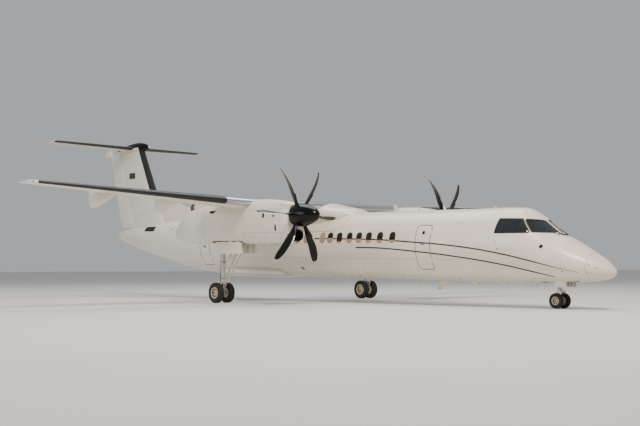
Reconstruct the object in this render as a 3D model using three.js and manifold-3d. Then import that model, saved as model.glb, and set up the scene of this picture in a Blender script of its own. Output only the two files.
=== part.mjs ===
// Turboprop airliner: high wing, T-tail, two six-bladed propellers, parked on its twin-wheel gear.
// Frame: +X forward, +Y to port, +Z up, origin on the ground at mid-length, lengths in millimetres.
// The airframe is drawn level, then set nose down about the line where the main tyres stand.
// A station is a distance aft of a datum just ahead of the nose, along the level airframe.
import * as THREE from "three";
import { mergeVertices } from "three/addons/utils/BufferGeometryUtils.js";
import Module from "manifold-3d";

// Driving dimensions
const LENGTH = 32830;
const NOSE_TIP = 200;
const TAIL_TIP = NOSE_TIP + LENGTH;
const MIDDLE = NOSE_TIP + LENGTH / 2;
const HALF_SPAN = 14210;
const GROUND_ATTITUDE = 0.0172; // radians, nose down
const CENTRE_SHIFT = -78; // brings the middle of the tilted length to the origin
const BODY_RADIUS = 1360;
const BODY_AXIS_Z = 2507;
const NACELLE_Y = 4400;
const MAIN_GEAR = { station: 16390, radius: 432, width: 262, rim: 215, offset: 290, axle: 62 };
const NOSE_GEAR = { station: 2450, radius: 279, width: 165, rim: 135, offset: 232, axle: 42 };
const PROPELLER = { station: 11420, z: 3630, radius: 2055, blades: 6 };
const SEAT_GAP = 0.4; // between pieces that rest on each other
const PANEL_GAP = 6; // round a door or a pane
const SWING_GAP = 16; // round a surface that turns on a hinge
const BORE_GAP = 1; // between an axle and its bore, before facets
const SIDES = [
  { name: "port", sign: 1, bladePhase: -3.6 },
  { name: "starboard", sign: -1, bladePhase: -2.4 },
];

// Finishes
const FINISH = {
  whitePaint: { color: 0xe9e4d8, roughness: 0.35, metalness: 0.0 },
  radomePaint: { color: 0xe3ddd0, roughness: 0.42, metalness: 0.0 },
  darkGlass: { color: 0x0c0f13, roughness: 0.08, metalness: 0.0 },
  blackBoot: { color: 0x17181a, roughness: 0.55, metalness: 0.0 },
  bladeComposite: { color: 0x131416, roughness: 0.4, metalness: 0.0 },
  legPaint: { color: 0xd7d5cc, roughness: 0.4, metalness: 0.1 },
  heatSteel: { color: 0x6f665c, roughness: 0.45, metalness: 1.0 },
  castAlloy: { color: 0x8b8a86, roughness: 0.5, metalness: 1.0 },
  tyreRubber: { color: 0x1d1d1e, roughness: 0.9, metalness: 0.0 },
};

const wasm = await Module();
wasm.setup();

// Point of the level airframe at a station, a distance to port and a height
const at = (station, y, z) => new THREE.Vector3(MIDDLE - station, y, z);
const degrees = (angle) => THREE.MathUtils.degToRad(angle);

// A closed geometry as a solid for cutting and joining
function solidOf(geometry) {
  const bare = geometry.clone();
  for (const name of Object.keys(bare.attributes)) {
    if (name !== "position") bare.deleteAttribute(name);
  }
  const merged = mergeVertices(bare, 1e-3);
  return new wasm.Manifold(
    new wasm.Mesh({
      numProp: 3,
      vertProperties: merged.attributes.position.array,
      triVerts: new Uint32Array(merged.index.array),
    }),
  );
}

function geometryOf(solid) {
  const mesh = solid.getMesh();
  return new THREE.BufferGeometry()
    .setAttribute("position", new THREE.BufferAttribute(mesh.vertProperties, 3))
    .setIndex(new THREE.BufferAttribute(mesh.triVerts, 1));
}

const join = (pieces) =>
  geometryOf(pieces.map(solidOf).reduce((sum, solid) => sum.add(solid)));

const cut = (piece, tools) =>
  geometryOf(tools.map(solidOf).reduce((rest, tool) => rest.subtract(tool), solidOf(piece)));

const common = (first, second) => geometryOf(solidOf(first).intersect(solidOf(second)));

// Turns a closed skin the right way round
function facingOut(geometry) {
  if (solidOf(geometry).volume() > 0) return geometry;
  const order = geometry.index.array;
  for (let i = 0; i < order.length; i += 3) {
    [order[i + 1], order[i + 2]] = [order[i + 2], order[i + 1]];
  }
  return geometry;
}

// A closed skin over rings that have equally many points
function skin(rings) {
  const count = rings[0].length;
  const position = rings.flat().flatMap((point) => point.toArray());
  const index = [];
  for (let ring = 0; ring + 1 < rings.length; ring += 1) {
    for (let i = 0; i < count; i += 1) {
      const a = ring * count + i;
      const b = ring * count + ((i + 1) % count);
      index.push(a, b, b + count, a, b + count, a + count);
    }
  }
  for (const ring of [0, rings.length - 1]) {
    const hub = position.length / 3;
    const sum = rings[ring].reduce((total, point) => total.add(point), new THREE.Vector3());
    position.push(...sum.divideScalar(count).toArray());
    for (let i = 0; i < count; i += 1) {
      const a = ring * count + i;
      const b = ring * count + ((i + 1) % count);
      index.push(...(ring === 0 ? [hub, b, a] : [hub, a, b]));
    }
  }
  return facingOut(
    new THREE.BufferGeometry()
      .setAttribute("position", new THREE.Float32BufferAttribute(position, 3))
      .setIndex(index),
  );
}

// The same piece on the other side of the aircraft
function mirrored(geometry) {
  const turned = geometry.clone().scale(1, -1, 1);
  if (!turned.index) turned.setIndex([...Array(turned.attributes.position.count).keys()]);
  return facingOut(turned);
}

const onSide = (geometry, side) => (side.sign > 0 ? geometry : mirrored(geometry));

// A prism from one y to another over an outline of [station, z] corners
function sidePrism(corners, yFrom, yTo) {
  const outline = new THREE.Shape(
    corners.map(([station, z]) => new THREE.Vector2(MIDDLE - station, z)),
  );
  return new THREE.ExtrudeGeometry(outline, { depth: yTo - yFrom, bevelEnabled: false })
    .rotateX(Math.PI / 2)
    .translate(0, yTo, 0);
}

// A round rod between two points
function rod(from, to, radius, sides = 12, endRadius = radius) {
  const along = to.clone().sub(from);
  const turn = new THREE.Quaternion().setFromUnitVectors(
    new THREE.Vector3(0, 1, 0),
    along.clone().normalize(),
  );
  return new THREE.CylinderGeometry(endRadius, radius, along.length(), sides)
    .applyQuaternion(turn)
    .translate(...from.clone().add(to).multiplyScalar(0.5).toArray());
}

// A block between two stations, two distances to port and two heights
const block = ([stationFrom, stationTo], [yFrom, yTo], [zFrom, zTo]) =>
  new THREE.BoxGeometry(stationTo - stationFrom, yTo - yFrom, zTo - zFrom).translate(
    ...at((stationFrom + stationTo) / 2, (yFrom + yTo) / 2, (zFrom + zTo) / 2).toArray(),
  );

// A solid turned about the Y axis through a point, from [radius, distance along the axis] pairs
function turned(profile, segments) {
  return facingOut(
    new THREE.LatheGeometry(
      profile.map(([radius, along]) => new THREE.Vector2(radius, along)),
      segments,
    ),
  );
}

const turnedOnY = (profile, centre, segments) =>
  turned(profile, segments).translate(...centre.toArray());

const turnedOnX = (profile, centre, segments) =>
  turned(profile, segments)
    .rotateZ(-Math.PI / 2)
    .translate(...centre.toArray());

// Outline of a door from its middle station, sill height, width and height
const rectangle = (station, low, width, height) => [
  [station - width / 2, low],
  [station + width / 2, low],
  [station + width / 2, low + height],
  [station - width / 2, low + height],
];

// Scene graph: everything rides in the level airframe, which is tilted about the main tyres' line
const group = new THREE.Group();
const tilt = new THREE.Group();
const airframe = new THREE.Group();
const pivotX = MIDDLE - MAIN_GEAR.station;
tilt.position.x = pivotX + CENTRE_SHIFT;
tilt.rotation.y = GROUND_ATTITUDE;
airframe.position.x = -pivotX;
tilt.add(airframe);
group.add(tilt);

function place(name, geometry, finish) {
  const mesh = new THREE.Mesh(geometry, new THREE.MeshStandardMaterial(FINISH[finish]));
  mesh.name = name;
  airframe.add(mesh);
}

// Height of the ground under a station in the level airframe
const groundUnder = (station) => (MAIN_GEAR.station - station) * Math.tan(GROUND_ATTITUDE);

// Fuselage
const BODY = [
  // station, top, bottom, half width
  [NOSE_TIP, 1580, 1540, 30],
  [265, 1690, 1445, 175],
  [450, 1867, 1338, 356],
  [680, 2037, 1283, 533],
  [970, 2209, 1241, 677],
  [1430, 2468, 1218, 869],
  [1930, 2732, 1176, 1027],
  [2380, 2943, 1165, 1096],
  [2930, 3331, 1150, 1180],
  [3380, 3666, 1135, 1262],
  [3930, 3886, 1122, 1306],
  [4730, 3912, 1115, 1350],
  [6030, 3905, 1115, 1360],
  [21000, 3900, 1115, 1360],
  [22300, 3895, 1168, 1345],
  [23800, 3860, 1321, 1279],
  [26100, 3760, 1705, 1053],
  [28100, 3600, 2062, 789],
  [29500, 3500, 2380, 560],
  [30900, 3330, 2767, 275],
  [31400, 3190, 2961, 119],
  [31560, 3150, 3110, 24],
];
const TAIL_END = BODY[BODY.length - 1][0];
const BODY_POINTS = 32;
const RADOME_SEAM = 1000;
const PANE_THICKNESS = 30;
const DOOR_THICKNESS = 70;
const DOORWAY = { station: 5150, low: 1640, width: 760, height: 1640, depth: 900 };
const AIRSTAIR_OUTLINE = rectangle(DOORWAY.station, DOORWAY.low, DOORWAY.width, DOORWAY.height);
const NOSE_BAY = { from: 1480, to: 3100, half: 300, low: 900, top: 1900 };

// The body's top, bottom and half width at a station
function bodyAt(station) {
  const last = BODY.findIndex(([s]) => s >= station);
  const next = BODY[last < 1 ? 1 : last];
  const before = BODY[last < 1 ? 0 : last - 1];
  const share = (station - before[0]) / (next[0] - before[0]);
  const [top, bottom, half] = [1, 2, 3].map(
    (column) => before[column] + (next[column] - before[column]) * share,
  );
  return { top, bottom, half };
}

// An oval ring square to the X axis; a power below 1 squares its corners
function ovalRing({ station, y = 0, half, bottom, top, points = 24, power = 1 }) {
  const bend = (value) => Math.sign(value) * Math.abs(value) ** power;
  return Array.from({ length: points }, (_, i) => {
    const angle = (2 * Math.PI * i) / points;
    return at(
      station,
      y + half * bend(Math.cos(angle)),
      (top + bottom) / 2 + ((top - bottom) / 2) * bend(Math.sin(angle)),
    );
  });
}

function bodyRing(station, inset) {
  const { top, bottom, half } = bodyAt(station);
  return ovalRing({
    station,
    half: Math.max(half - inset, 5),
    bottom: Math.min(bottom + inset, (top + bottom) / 2 - 5),
    top: Math.max(top - inset, (top + bottom) / 2 + 5),
    points: BODY_POINTS,
  });
}

// The body between two stations, shrunk all round by an inset
function bodyLoft(from, to, inset = 0) {
  const between = BODY.map(([station]) => station).filter((s) => s > from + 1 && s < to - 1);
  return skin([from, ...between, to].map((station) => bodyRing(station, inset)));
}

const PANELS = [
  // name, side (0 for both), outline, thickness, finish
  ["windscreen", 0, [[2370, 2965], [2930, 3400], [3380, 3430], [2990, 2960]], PANE_THICKNESS, "darkGlass"],
  ["side_window", 0, [[3060, 2950], [3490, 3440], [4360, 3465], [4400, 2935]], PANE_THICKNESS, "darkGlass"],
  ["airstair_door", 1, AIRSTAIR_OUTLINE, DOOR_THICKNESS, "whitePaint"],
  ["baggage_door_forward", -1, rectangle(7770, 1560, 750, 1690), DOOR_THICKNESS, "whitePaint"],
  ["service_door_aft", -1, rectangle(21700, 1560, 780, 1500), DOOR_THICKNESS, "whitePaint"],
  ["passenger_door_aft", 1, rectangle(21700, 1600, 760, 1640), DOOR_THICKNESS, "whitePaint"],
];
const PANEL_Y = { from: 40, to: BODY_RADIUS + 300 };
const RECESS_PROUD = 60;

// An outline with each edge pushed out by a distance; its corners run clockwise or anticlockwise
function grown(outline, distance) {
  const corners = outline.map(([x, z]) => new THREE.Vector2(x, z));
  const turn = THREE.ShapeUtils.isClockWise(corners) ? -1 : 1;
  const edgeNormal = (from, to) => {
    const along = to.clone().sub(from).normalize();
    return new THREE.Vector2(along.y, -along.x).multiplyScalar(turn);
  };
  return corners.map((corner, i) => {
    const before = corners[(i + corners.length - 1) % corners.length];
    const after = corners[(i + 1) % corners.length];
    const [first, second] = [edgeNormal(before, corner), edgeNormal(corner, after)];
    const reach = distance / (1 + first.dot(second));
    const moved = corner.clone().addScaledVector(first.add(second), reach);
    return [moved.x, moved.y];
  });
}

const WALL_MARGIN = 200;

// The part of the body's wall under an outline, pushed out all round by a margin
function wallUnder(outline, margin, thickness, proud) {
  const stations = outline.map(([station]) => station);
  const from = Math.min(...stations) - WALL_MARGIN;
  const to = Math.max(...stations) + WALL_MARGIN;
  const wall = cut(bodyLoft(from, to, -proud), [bodyLoft(from, to, thickness)]);
  return common(wall, sidePrism(grown(outline, margin), PANEL_Y.from, PANEL_Y.to));
}

// Airstair, hinged along its sill
const STAIR_HINGE = { y: 1058, z: 1645.5, radius: 12, length: 200, offset: 240 };
const SILL_KNUCKLE = { radius: 19, half: 139.4, clearance: 6 };
const STEPS = { count: 5, depth: 230, thickness: 28, width: 560, first: 1850, pitch: 270 };

// Middle knuckle of the airstair's hinge, which stands on the sill
function sillKnuckle(gap = 0) {
  const half = SILL_KNUCKLE.half + gap;
  return rod(
    at(DOORWAY.station - half, STAIR_HINGE.y, STAIR_HINGE.z),
    at(DOORWAY.station + half, STAIR_HINGE.y, STAIR_HINGE.z),
    SILL_KNUCKLE.radius + gap,
  );
}

function airstairParts(panel) {
  const treads = Array.from({ length: STEPS.count }, (_, i) => {
    const z = STEPS.first + i * STEPS.pitch;
    const skinY = Math.sqrt(BODY_RADIUS ** 2 - (z - BODY_AXIS_Z) ** 2) - DOOR_THICKNESS / 2;
    return block(
      [DOORWAY.station - STEPS.width / 2, DOORWAY.station + STEPS.width / 2],
      [skinY - STEPS.depth, skinY],
      [z, z + STEPS.thickness],
    );
  });
  const knuckles = [-STAIR_HINGE.offset, STAIR_HINGE.offset].map((offset) =>
    rod(
      at(DOORWAY.station + offset - STAIR_HINGE.length / 2, STAIR_HINGE.y, STAIR_HINGE.z),
      at(DOORWAY.station + offset + STAIR_HINGE.length / 2, STAIR_HINGE.y, STAIR_HINGE.z),
      STAIR_HINGE.radius,
    ),
  );
  return join([cut(panel, [sillKnuckle(SILL_KNUCKLE.clearance)]), ...treads, ...knuckles]);
}

// The tail surfaces leave their feet in the body's skin
const bodyTool = () => bodyLoft(RADOME_SEAM, TAIL_END, -SEAT_GAP);

function buildBody() {
  const recesses = [];
  for (const [name, side, outline, thickness, finish] of PANELS) {
    const panel = wallUnder(outline, 0, thickness, 0);
    const recess = wallUnder(outline, PANEL_GAP, thickness + SEAT_GAP, RECESS_PROUD);
    const dressed = name === "airstair_door" ? airstairParts(panel) : panel;
    for (const owner of SIDES.filter(({ sign }) => side === 0 || side === sign)) {
      recesses.push(onSide(recess, owner));
      place(side === 0 ? `${name}_${owner.name}` : name, onSide(dressed, owner), finish);
    }
  }
  const doorway = sidePrism(grown(AIRSTAIR_OUTLINE, PANEL_GAP), BODY_RADIUS - DOORWAY.depth, PANEL_Y.to);
  const noseBay = block(
    [NOSE_BAY.from, NOSE_BAY.to],
    [-NOSE_BAY.half, NOSE_BAY.half],
    [NOSE_BAY.low, NOSE_BAY.top],
  );
  const shell = bodyLoft(RADOME_SEAM + SEAT_GAP, TAIL_END);
  const hull = cut(shell, [...recesses, doorway, noseBay]);
  const pad = jackPad(NOSE_PAD.station, 0, bodyAt(NOSE_PAD.station).bottom);
  place("fuselage", join([hull, pad, sillKnuckle()]), "whitePaint");
  place("radome", bodyLoft(NOSE_TIP, RADOME_SEAM), "radomePaint");
  place("belly_fairing", cut(bellyLoft(), [bodyTool()]), "whitePaint");
}

const BELLY_FAIRING = [
  // station, half width, bottom, top
  [16500, 700, 1110, 1300],
  [16900, 1000, 1050, 1420],
  [17600, 1060, 1030, 1450],
  [20400, 1060, 1030, 1450],
  [21300, 700, 1100, 1400],
];

const bellyLoft = () =>
  skin(
    BELLY_FAIRING.map(([station, half, bottom, top]) =>
      ovalRing({ station, half, bottom, top, power: 0.8 }),
    ),
  );

// Aerofoil thickness, half of it, at a share of the chord
const halfThickness = (share, chord, thick) =>
  5 *
  thick *
  chord *
  (0.2969 * Math.sqrt(share) -
    0.126 * share -
    0.3516 * share ** 2 +
    0.2843 * share ** 3 -
    0.1015 * share ** 4);

const CHORD_SHARES = [0.015, 0.06, 0.14, 0.26, 0.42, 0.6, 0.8];
const NOSE_ARC = [150, 120, 90];
const EDGE_HALF = 4;

// An aerofoil ring between two shares of the chord, in a plane of constant y, or of constant z if upright.
// A hinged surface starts in a round nose about its hinge.
function aerofoil(section) {
  const { station, y, z, chord, thick, from = 0, to = 1, roundNose = false, upright = false } = section;
  const half = (share) => Math.max(halfThickness(share, chord, thick), EDGE_HALF);
  const front = [[from * chord - (roundNose ? half(from) : 0), 0]];
  const arc = roundNose
    ? NOSE_ARC.map((angle) => [
        from * chord + half(from) * Math.cos(degrees(angle)),
        half(from) * Math.sin(degrees(angle)),
      ])
    : [];
  const flat = from > 0 && !roundNose ? [[from * chord, half(from)]] : [];
  const sides = [...CHORD_SHARES, 1].map((share) => {
    const x = from + (to - from) * share;
    return [x * chord, half(x)];
  });
  const upper = [...arc, ...flat, ...sides];
  const lower = upper.map(([x, t]) => [x, -t]).reverse();
  return [...front, ...upper, ...lower].map(([x, t]) =>
    upright ? at(station + x, y + t, z) : at(station + x, y, z + t),
  );
}

// Share of the chord where the fixed part ends ahead of a hinged surface
const aheadOfHinge = ({ chord, thick, hinge }) =>
  hinge - (halfThickness(hinge, chord, thick) + SWING_GAP) / chord;

// Hinge pin across the swing gap between two points of the hinge line
const HINGE_PIN = { radius: 12, reach: SWING_GAP - 0.9, root: 60 };

function hingePin(end, inward, reach = HINGE_PIN.reach) {
  const along = inward.clone().sub(end).normalize();
  return rod(
    end.clone().addScaledVector(along, -reach),
    end.clone().addScaledVector(along, HINGE_PIN.root),
    HINGE_PIN.radius,
    8,
  );
}

// Wing
const WING = {
  root: { y: 5000, station: 13940, chord: 2750, thick: 0.17 },
  tip: { y: HALF_SPAN, station: 14760, chord: 1250, thick: 0.12 },
  z: 4195,
  dihedral: Math.tan(degrees(2.5)),
};
const FLAP_HINGE = 0.74;
const AILERON_HINGE = 0.76;
const FLAPS = { inboard: [1560, 3700], outboard: [5150, 11000] };
const AILERON = [11030, 13650];
const TIP_CAP = [
  // distance in from the tip, station offset, share of chord, share of thickness
  [260, 0, 1, 1],
  [90, 60, 0.93, 0.75],
  [0, 300, 0.66, 0.25],
];

function wingAt(y) {
  const { root, tip } = WING;
  const share = Math.max(0, (y - root.y) / (tip.y - root.y));
  const mix = (key) => root[key] + (tip[key] - root[key]) * share;
  return {
    station: mix("station"),
    y,
    z: WING.z + Math.max(0, y - root.y) * WING.dihedral,
    chord: mix("chord"),
    thick: mix("thick"),
  };
}

const wingSkin = (ends, range) => skin(ends.map((y) => aerofoil({ ...wingAt(y), ...range })));

// The wing centre, or with a gap added all round, the tool that fits pieces to it
function wingCentre(gap = 0) {
  const { y, station, chord, thick } = WING.root;
  const section = {
    station: station - gap,
    chord: chord + 2 * gap,
    thick: thick * (1 + gap / 100),
    to: FLAP_HINGE + gap / chord,
    z: WING.z,
  };
  return skin([-y + SEAT_GAP, y - SEAT_GAP].map((end) => aerofoil({ ...section, y: end })));
}

function wingOuter() {
  const aileronTo = aheadOfHinge({ ...wingAt(AILERON[1]), hinge: AILERON_HINGE }) - 0.004;
  const spans = [
    [WING.root.y, FLAP_HINGE],
    [AILERON[0] - 1, FLAP_HINGE],
    [AILERON[0], aileronTo],
    [AILERON[1], aileronTo],
    [AILERON[1] + 1, 1],
  ].map(([y, to]) => aerofoil({ ...wingAt(y), to }));
  const cap = TIP_CAP.map(([inboard, offset, chordShare, thickShare]) => {
    const section = wingAt(HALF_SPAN - inboard);
    return aerofoil({
      ...section,
      station: section.station + offset,
      chord: section.chord * chordShare,
      thick: section.thick * thickShare,
    });
  });
  return skin([...spans, ...cap]);
}

// Jacking pads, flat discs standing proud below the skin
const JACK_PAD = { radius: 45, proud: 12, root: 60 };
const WING_PAD = { station: 14800, y: 5650 };
const NOSE_PAD = { station: 3900 };

function jackPad(station, y, skinZ) {
  return rod(
    at(station, y, skinZ - JACK_PAD.proud),
    at(station, y, skinZ + JACK_PAD.root),
    JACK_PAD.radius,
    16,
  );
}

function wingPad() {
  const { station, z, chord, thick } = wingAt(WING_PAD.y);
  const share = (WING_PAD.station - station) / chord;
  return jackPad(WING_PAD.station, WING_PAD.y, z - halfThickness(share, chord, thick));
}

// Fairings over the flap tracks, half on the wing and half on the flap
const TRACK_FAIRING_Y = [7850, 10700];
const TRACK_FAIRING = [
  // share of length, half width, depth below the chord line
  [0, 8, 120],
  [0.2, 60, 300],
  [0.5, 95, 500],
  [0.75, 95, 630],
  [0.92, 60, 620],
  [1, 12, 460],
];
const TRACK_FAIRING_START = 220; // aft of the leading edge
const TRACK_FAIRING_LENGTH = 2070;
const TRACK_FAIRING_HALF = 200; // of the block that splits it
const TRACK_SPLIT = { reach: 2500, gap: 4 };

function trackFairing(y) {
  const { station, z } = wingAt(y);
  return skin(
    TRACK_FAIRING.map(([share, half, depth]) =>
      ovalRing({
        station: station + TRACK_FAIRING_START + share * TRACK_FAIRING_LENGTH,
        y,
        half,
        bottom: z - depth,
        top: z + 12,
        points: 12,
      }),
    ),
  );
}

function fairingHalves(y) {
  const { station, z, chord } = wingAt(y);
  const face = station + FLAP_HINGE * chord;
  const whole = trackFairing(y);
  const across = [y - TRACK_FAIRING_HALF, y + TRACK_FAIRING_HALF];
  const { reach, gap } = TRACK_SPLIT;
  const depth = [z - reach, z + reach];
  return {
    onWing: common(whole, block([face - reach, face - gap], across, depth)),
    onFlap: common(whole, block([face + gap, face + reach], across, depth)),
  };
}

function aileronPiece() {
  const ends = [AILERON[0] + SWING_GAP, AILERON[1] - SWING_GAP];
  const hingeAt = (y) => {
    const { station, z, chord } = wingAt(y);
    return at(station + AILERON_HINGE * chord, y, z);
  };
  const [inner, outer] = ends.map(hingeAt);
  return join([
    wingSkin(ends, { from: AILERON_HINGE, roundNose: true }),
    hingePin(inner, outer),
    hingePin(outer, inner),
  ]);
}

function buildWing() {
  place("wing_centre", wingCentre(), "whitePaint");
  const rootTools = [bodyTool(), wingCentre(SEAT_GAP)];
  place("wing_root_fairing", cut(rootFairing(), rootTools), "whitePaint");
  const halves = TRACK_FAIRING_Y.map(fairingHalves);
  const behind = { from: FLAP_HINGE };
  const pieces = {
    wing_outer: join([wingOuter(), wingPad(), ...halves.map(({ onWing }) => onWing)]),
    flap_inboard: wingSkin(FLAPS.inboard, behind).translate(-SEAT_GAP, 0, 0),
    flap_outboard: join([
      wingSkin(FLAPS.outboard, behind).translate(-SEAT_GAP, 0, 0),
      ...halves.map(({ onFlap }) => onFlap),
    ]),
    aileron: aileronPiece(),
  };
  for (const side of SIDES) {
    for (const [name, geometry] of Object.entries(pieces)) {
      place(`${name}_${side.name}`, onSide(geometry, side), "whitePaint");
    }
  }
}

// Hump over the wing centre, and the skirt that lies on the body's sides
const ROOT_HUMP = [
  // station, half width, bottom, top
  [12430, 500, 3600, 3890],
  [12600, 700, 3500, 4050],
  [12950, 950, 3400, 4130],
  [13600, 1120, 3300, 4230],
  [14300, 1200, 3200, 4380],
  [15000, 1230, 3200, 4450],
  [15900, 1230, 3200, 4440],
  [16800, 1120, 3300, 4290],
  [17800, 800, 3450, 4020],
  [18500, 300, 3600, 3850],
];
const ROOT_SKIRT = {
  proud: 28,
  outline: [
    [12300, 3960],
    [12300, 3780],
    [12330, 3500],
    [12460, 3270],
    [12700, 3130],
    [13050, 3080],
    [17900, 3080],
    [18400, 3400],
    [18600, 3960],
  ],
};

function rootFairing() {
  const { proud, outline } = ROOT_SKIRT;
  const stations = outline.map(([station]) => station);
  const shell = bodyLoft(Math.min(...stations) - proud, Math.max(...stations) + proud, -proud);
  const hump = skin(
    ROOT_HUMP.map(([station, half, bottom, top]) =>
      ovalRing({ station, half, bottom, top, power: 0.85 }),
    ),
  );
  return join([common(shell, sidePrism(outline, -PANEL_Y.to, PANEL_Y.to)), hump]);
}

// Nacelles
const NACELLE = [
  // station, half width, bottom, top
  [11700, 430, 2600, 4090],
  [11850, 480, 2570, 4140],
  [12300, 540, 2540, 4230],
  [13000, 575, 2520, 4300],
  [13900, 585, 2510, 4330],
  [15800, 585, 2505, 4330],
  [16900, 575, 2505, 4230],
  [17900, 540, 2510, 4050],
  [18500, 470, 2530, 3950],
  [19000, 350, 2590, 3680],
  [19400, 220, 2680, 3380],
  [19700, 90, 2850, 3120],
];
const NACELLE_POWER = 0.72;
const WHEEL_BAY = { from: 14500, to: 16620, half: 390, low: 2300, top: 3250 };
const ENGINE = { from: 12450, to: 14250, half: 340, low: 3000, high: 3700 };
const ENGINE_CLEARANCE = 12;
const INTAKE = { front: 11600, z: 2845, half: 330, reach: 238, wall: 45, lipRadius: 25, narrowing: 0.72 };
const DUCT_END = { station: ENGINE.from + 60, z: ENGINE.low + 260 };

const nacelleLoft = (gap = 0) =>
  skin(
    NACELLE.map(([station, half, bottom, top]) =>
      ovalRing({
        station,
        y: NACELLE_Y,
        half: half + gap,
        bottom: bottom - gap,
        top: top + gap,
        points: 28,
        power: NACELLE_POWER,
      }),
    ),
  );

const intakeRing = (station, z, half, reach) =>
  ovalRing({ station, y: NACELLE_Y, half, bottom: z - reach, top: z + reach, power: 0.85 });

function buildNacelles() {
  const mouth = NACELLE[0][0];
  const cavity = block(
    [ENGINE.from - ENGINE_CLEARANCE, ENGINE.to + ENGINE_CLEARANCE],
    [NACELLE_Y - ENGINE.half - ENGINE_CLEARANCE, NACELLE_Y + ENGINE.half + ENGINE_CLEARANCE],
    [ENGINE.low - SEAT_GAP, ENGINE.high + ENGINE_CLEARANCE],
  );
  const inner = { half: INTAKE.half - INTAKE.wall, reach: INTAKE.reach - INTAKE.wall };
  const duct = skin([
    intakeRing(mouth - INTAKE.wall, INTAKE.z, inner.half, inner.reach),
    intakeRing(mouth + 3 * INTAKE.wall, INTAKE.z, inner.half, inner.reach),
    intakeRing(DUCT_END.station, DUCT_END.z, inner.half * INTAKE.narrowing, inner.reach * INTAKE.narrowing),
  ]);
  const bay = block(
    [WHEEL_BAY.from, WHEEL_BAY.to],
    [NACELLE_Y - WHEEL_BAY.half, NACELLE_Y + WHEEL_BAY.half],
    [WHEEL_BAY.low, WHEEL_BAY.top],
  );
  const lip = cut(
    skin([
      intakeRing(INTAKE.front, INTAKE.z, INTAKE.half - INTAKE.lipRadius, INTAKE.reach - INTAKE.lipRadius),
      intakeRing(INTAKE.front + INTAKE.lipRadius, INTAKE.z, INTAKE.half, INTAKE.reach),
      intakeRing(mouth - SEAT_GAP, INTAKE.z, INTAKE.half, INTAKE.reach),
    ]),
    [
      skin([
        intakeRing(INTAKE.front - INTAKE.wall, INTAKE.z, inner.half, inner.reach),
        intakeRing(mouth + INTAKE.wall, INTAKE.z, inner.half, inner.reach),
      ]),
    ],
  );
  const pieces = {
    nacelle: [cut(nacelleLoft(), [cavity, duct, bay, wingCentre(SEAT_GAP)]), "whitePaint"],
    engine: [
      block(
        [ENGINE.from, ENGINE.to],
        [NACELLE_Y - ENGINE.half, NACELLE_Y + ENGINE.half],
        [ENGINE.low, ENGINE.high],
      ),
      "castAlloy",
    ],
    intake_lip: [lip, "blackBoot"],
    exhaust: [exhaustPiece(), "heatSteel"],
  };
  for (const side of SIDES) {
    for (const [name, [geometry, finish]] of Object.entries(pieces)) {
      place(`${name}_${side.name}`, onSide(geometry, side), finish);
    }
  }
}

// Exhaust duct along the top of the nacelle, open aft
const EXHAUST = [
  // station, half width, bottom, top
  [16700, 90, 4100, 4270],
  [17100, 200, 3950, 4340],
  [17800, 235, 3860, 4360],
  [18400, 225, 3820, 4300],
];
const EXHAUST_WALL = 22;
const EXHAUST_BORE = { from: 17150, narrowing: 40, past: 60 };

function exhaustPiece() {
  const ring = ([station, half, bottom, top], wall) =>
    ovalRing({
      station,
      y: NACELLE_Y,
      half: half - wall,
      bottom: bottom + wall,
      top: top - wall,
      points: 20,
    });
  const [, throat, middle, mouth] = EXHAUST;
  const bore = skin([
    ring([EXHAUST_BORE.from, ...throat.slice(1)], EXHAUST_WALL + EXHAUST_BORE.narrowing),
    ring(middle, EXHAUST_WALL),
    ring([mouth[0] + EXHAUST_BORE.past, ...mouth.slice(1)], EXHAUST_WALL),
  ]);
  return cut(skin(EXHAUST.map((row) => ring(row, 0))), [bore, nacelleLoft(SEAT_GAP)]);
}

// Propellers
const SPINNER = [
  // radius, distance ahead of the propeller's station
  [0, 1000],
  [70, 985],
  [160, 900],
  [255, 720],
  [325, 520],
  [375, 320],
  [402, 150],
];
const DRUM = { front: 149.6, back: -240, radius: 408 };
const SHAFT = { radius: 110, length: 280 };
const BLADE = [
  // distance from the axis, chord, thickness, sweep aft, twist from feather in degrees
  [300, 150, 140, 0, 0],
  [560, 190, 120, 0, 6],
  [850, 330, 62, -20, 10],
  [1250, 400, 44, -30, 4],
  [1650, 380, 32, 30, -3],
  [1900, 300, 22, 110, -7],
  [2040, 170, 14, 180, -9],
];
const BLADE_TIP = { radius: PROPELLER.radius, chord: 60, thickness: 8, sweep: 220, twist: -10 };
const BLADE_POINTS = 8;

// One blade standing up from the axis, feathered, its chord along the X axis
function bladePiece() {
  const rows = [...BLADE, Object.values(BLADE_TIP)];
  return skin(
    rows.map(([radius, chord, thickness, sweep, twist]) =>
      Array.from({ length: BLADE_POINTS }, (_, i) => {
        const angle = (2 * Math.PI * i) / BLADE_POINTS;
        return new THREE.Vector3((chord / 2) * Math.cos(angle), (thickness / 2) * Math.sin(angle), 0)
          .applyAxisAngle(new THREE.Vector3(0, 0, 1), degrees(twist))
          .add(new THREE.Vector3(-sweep, 0, radius));
      }),
    ),
  );
}

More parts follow.
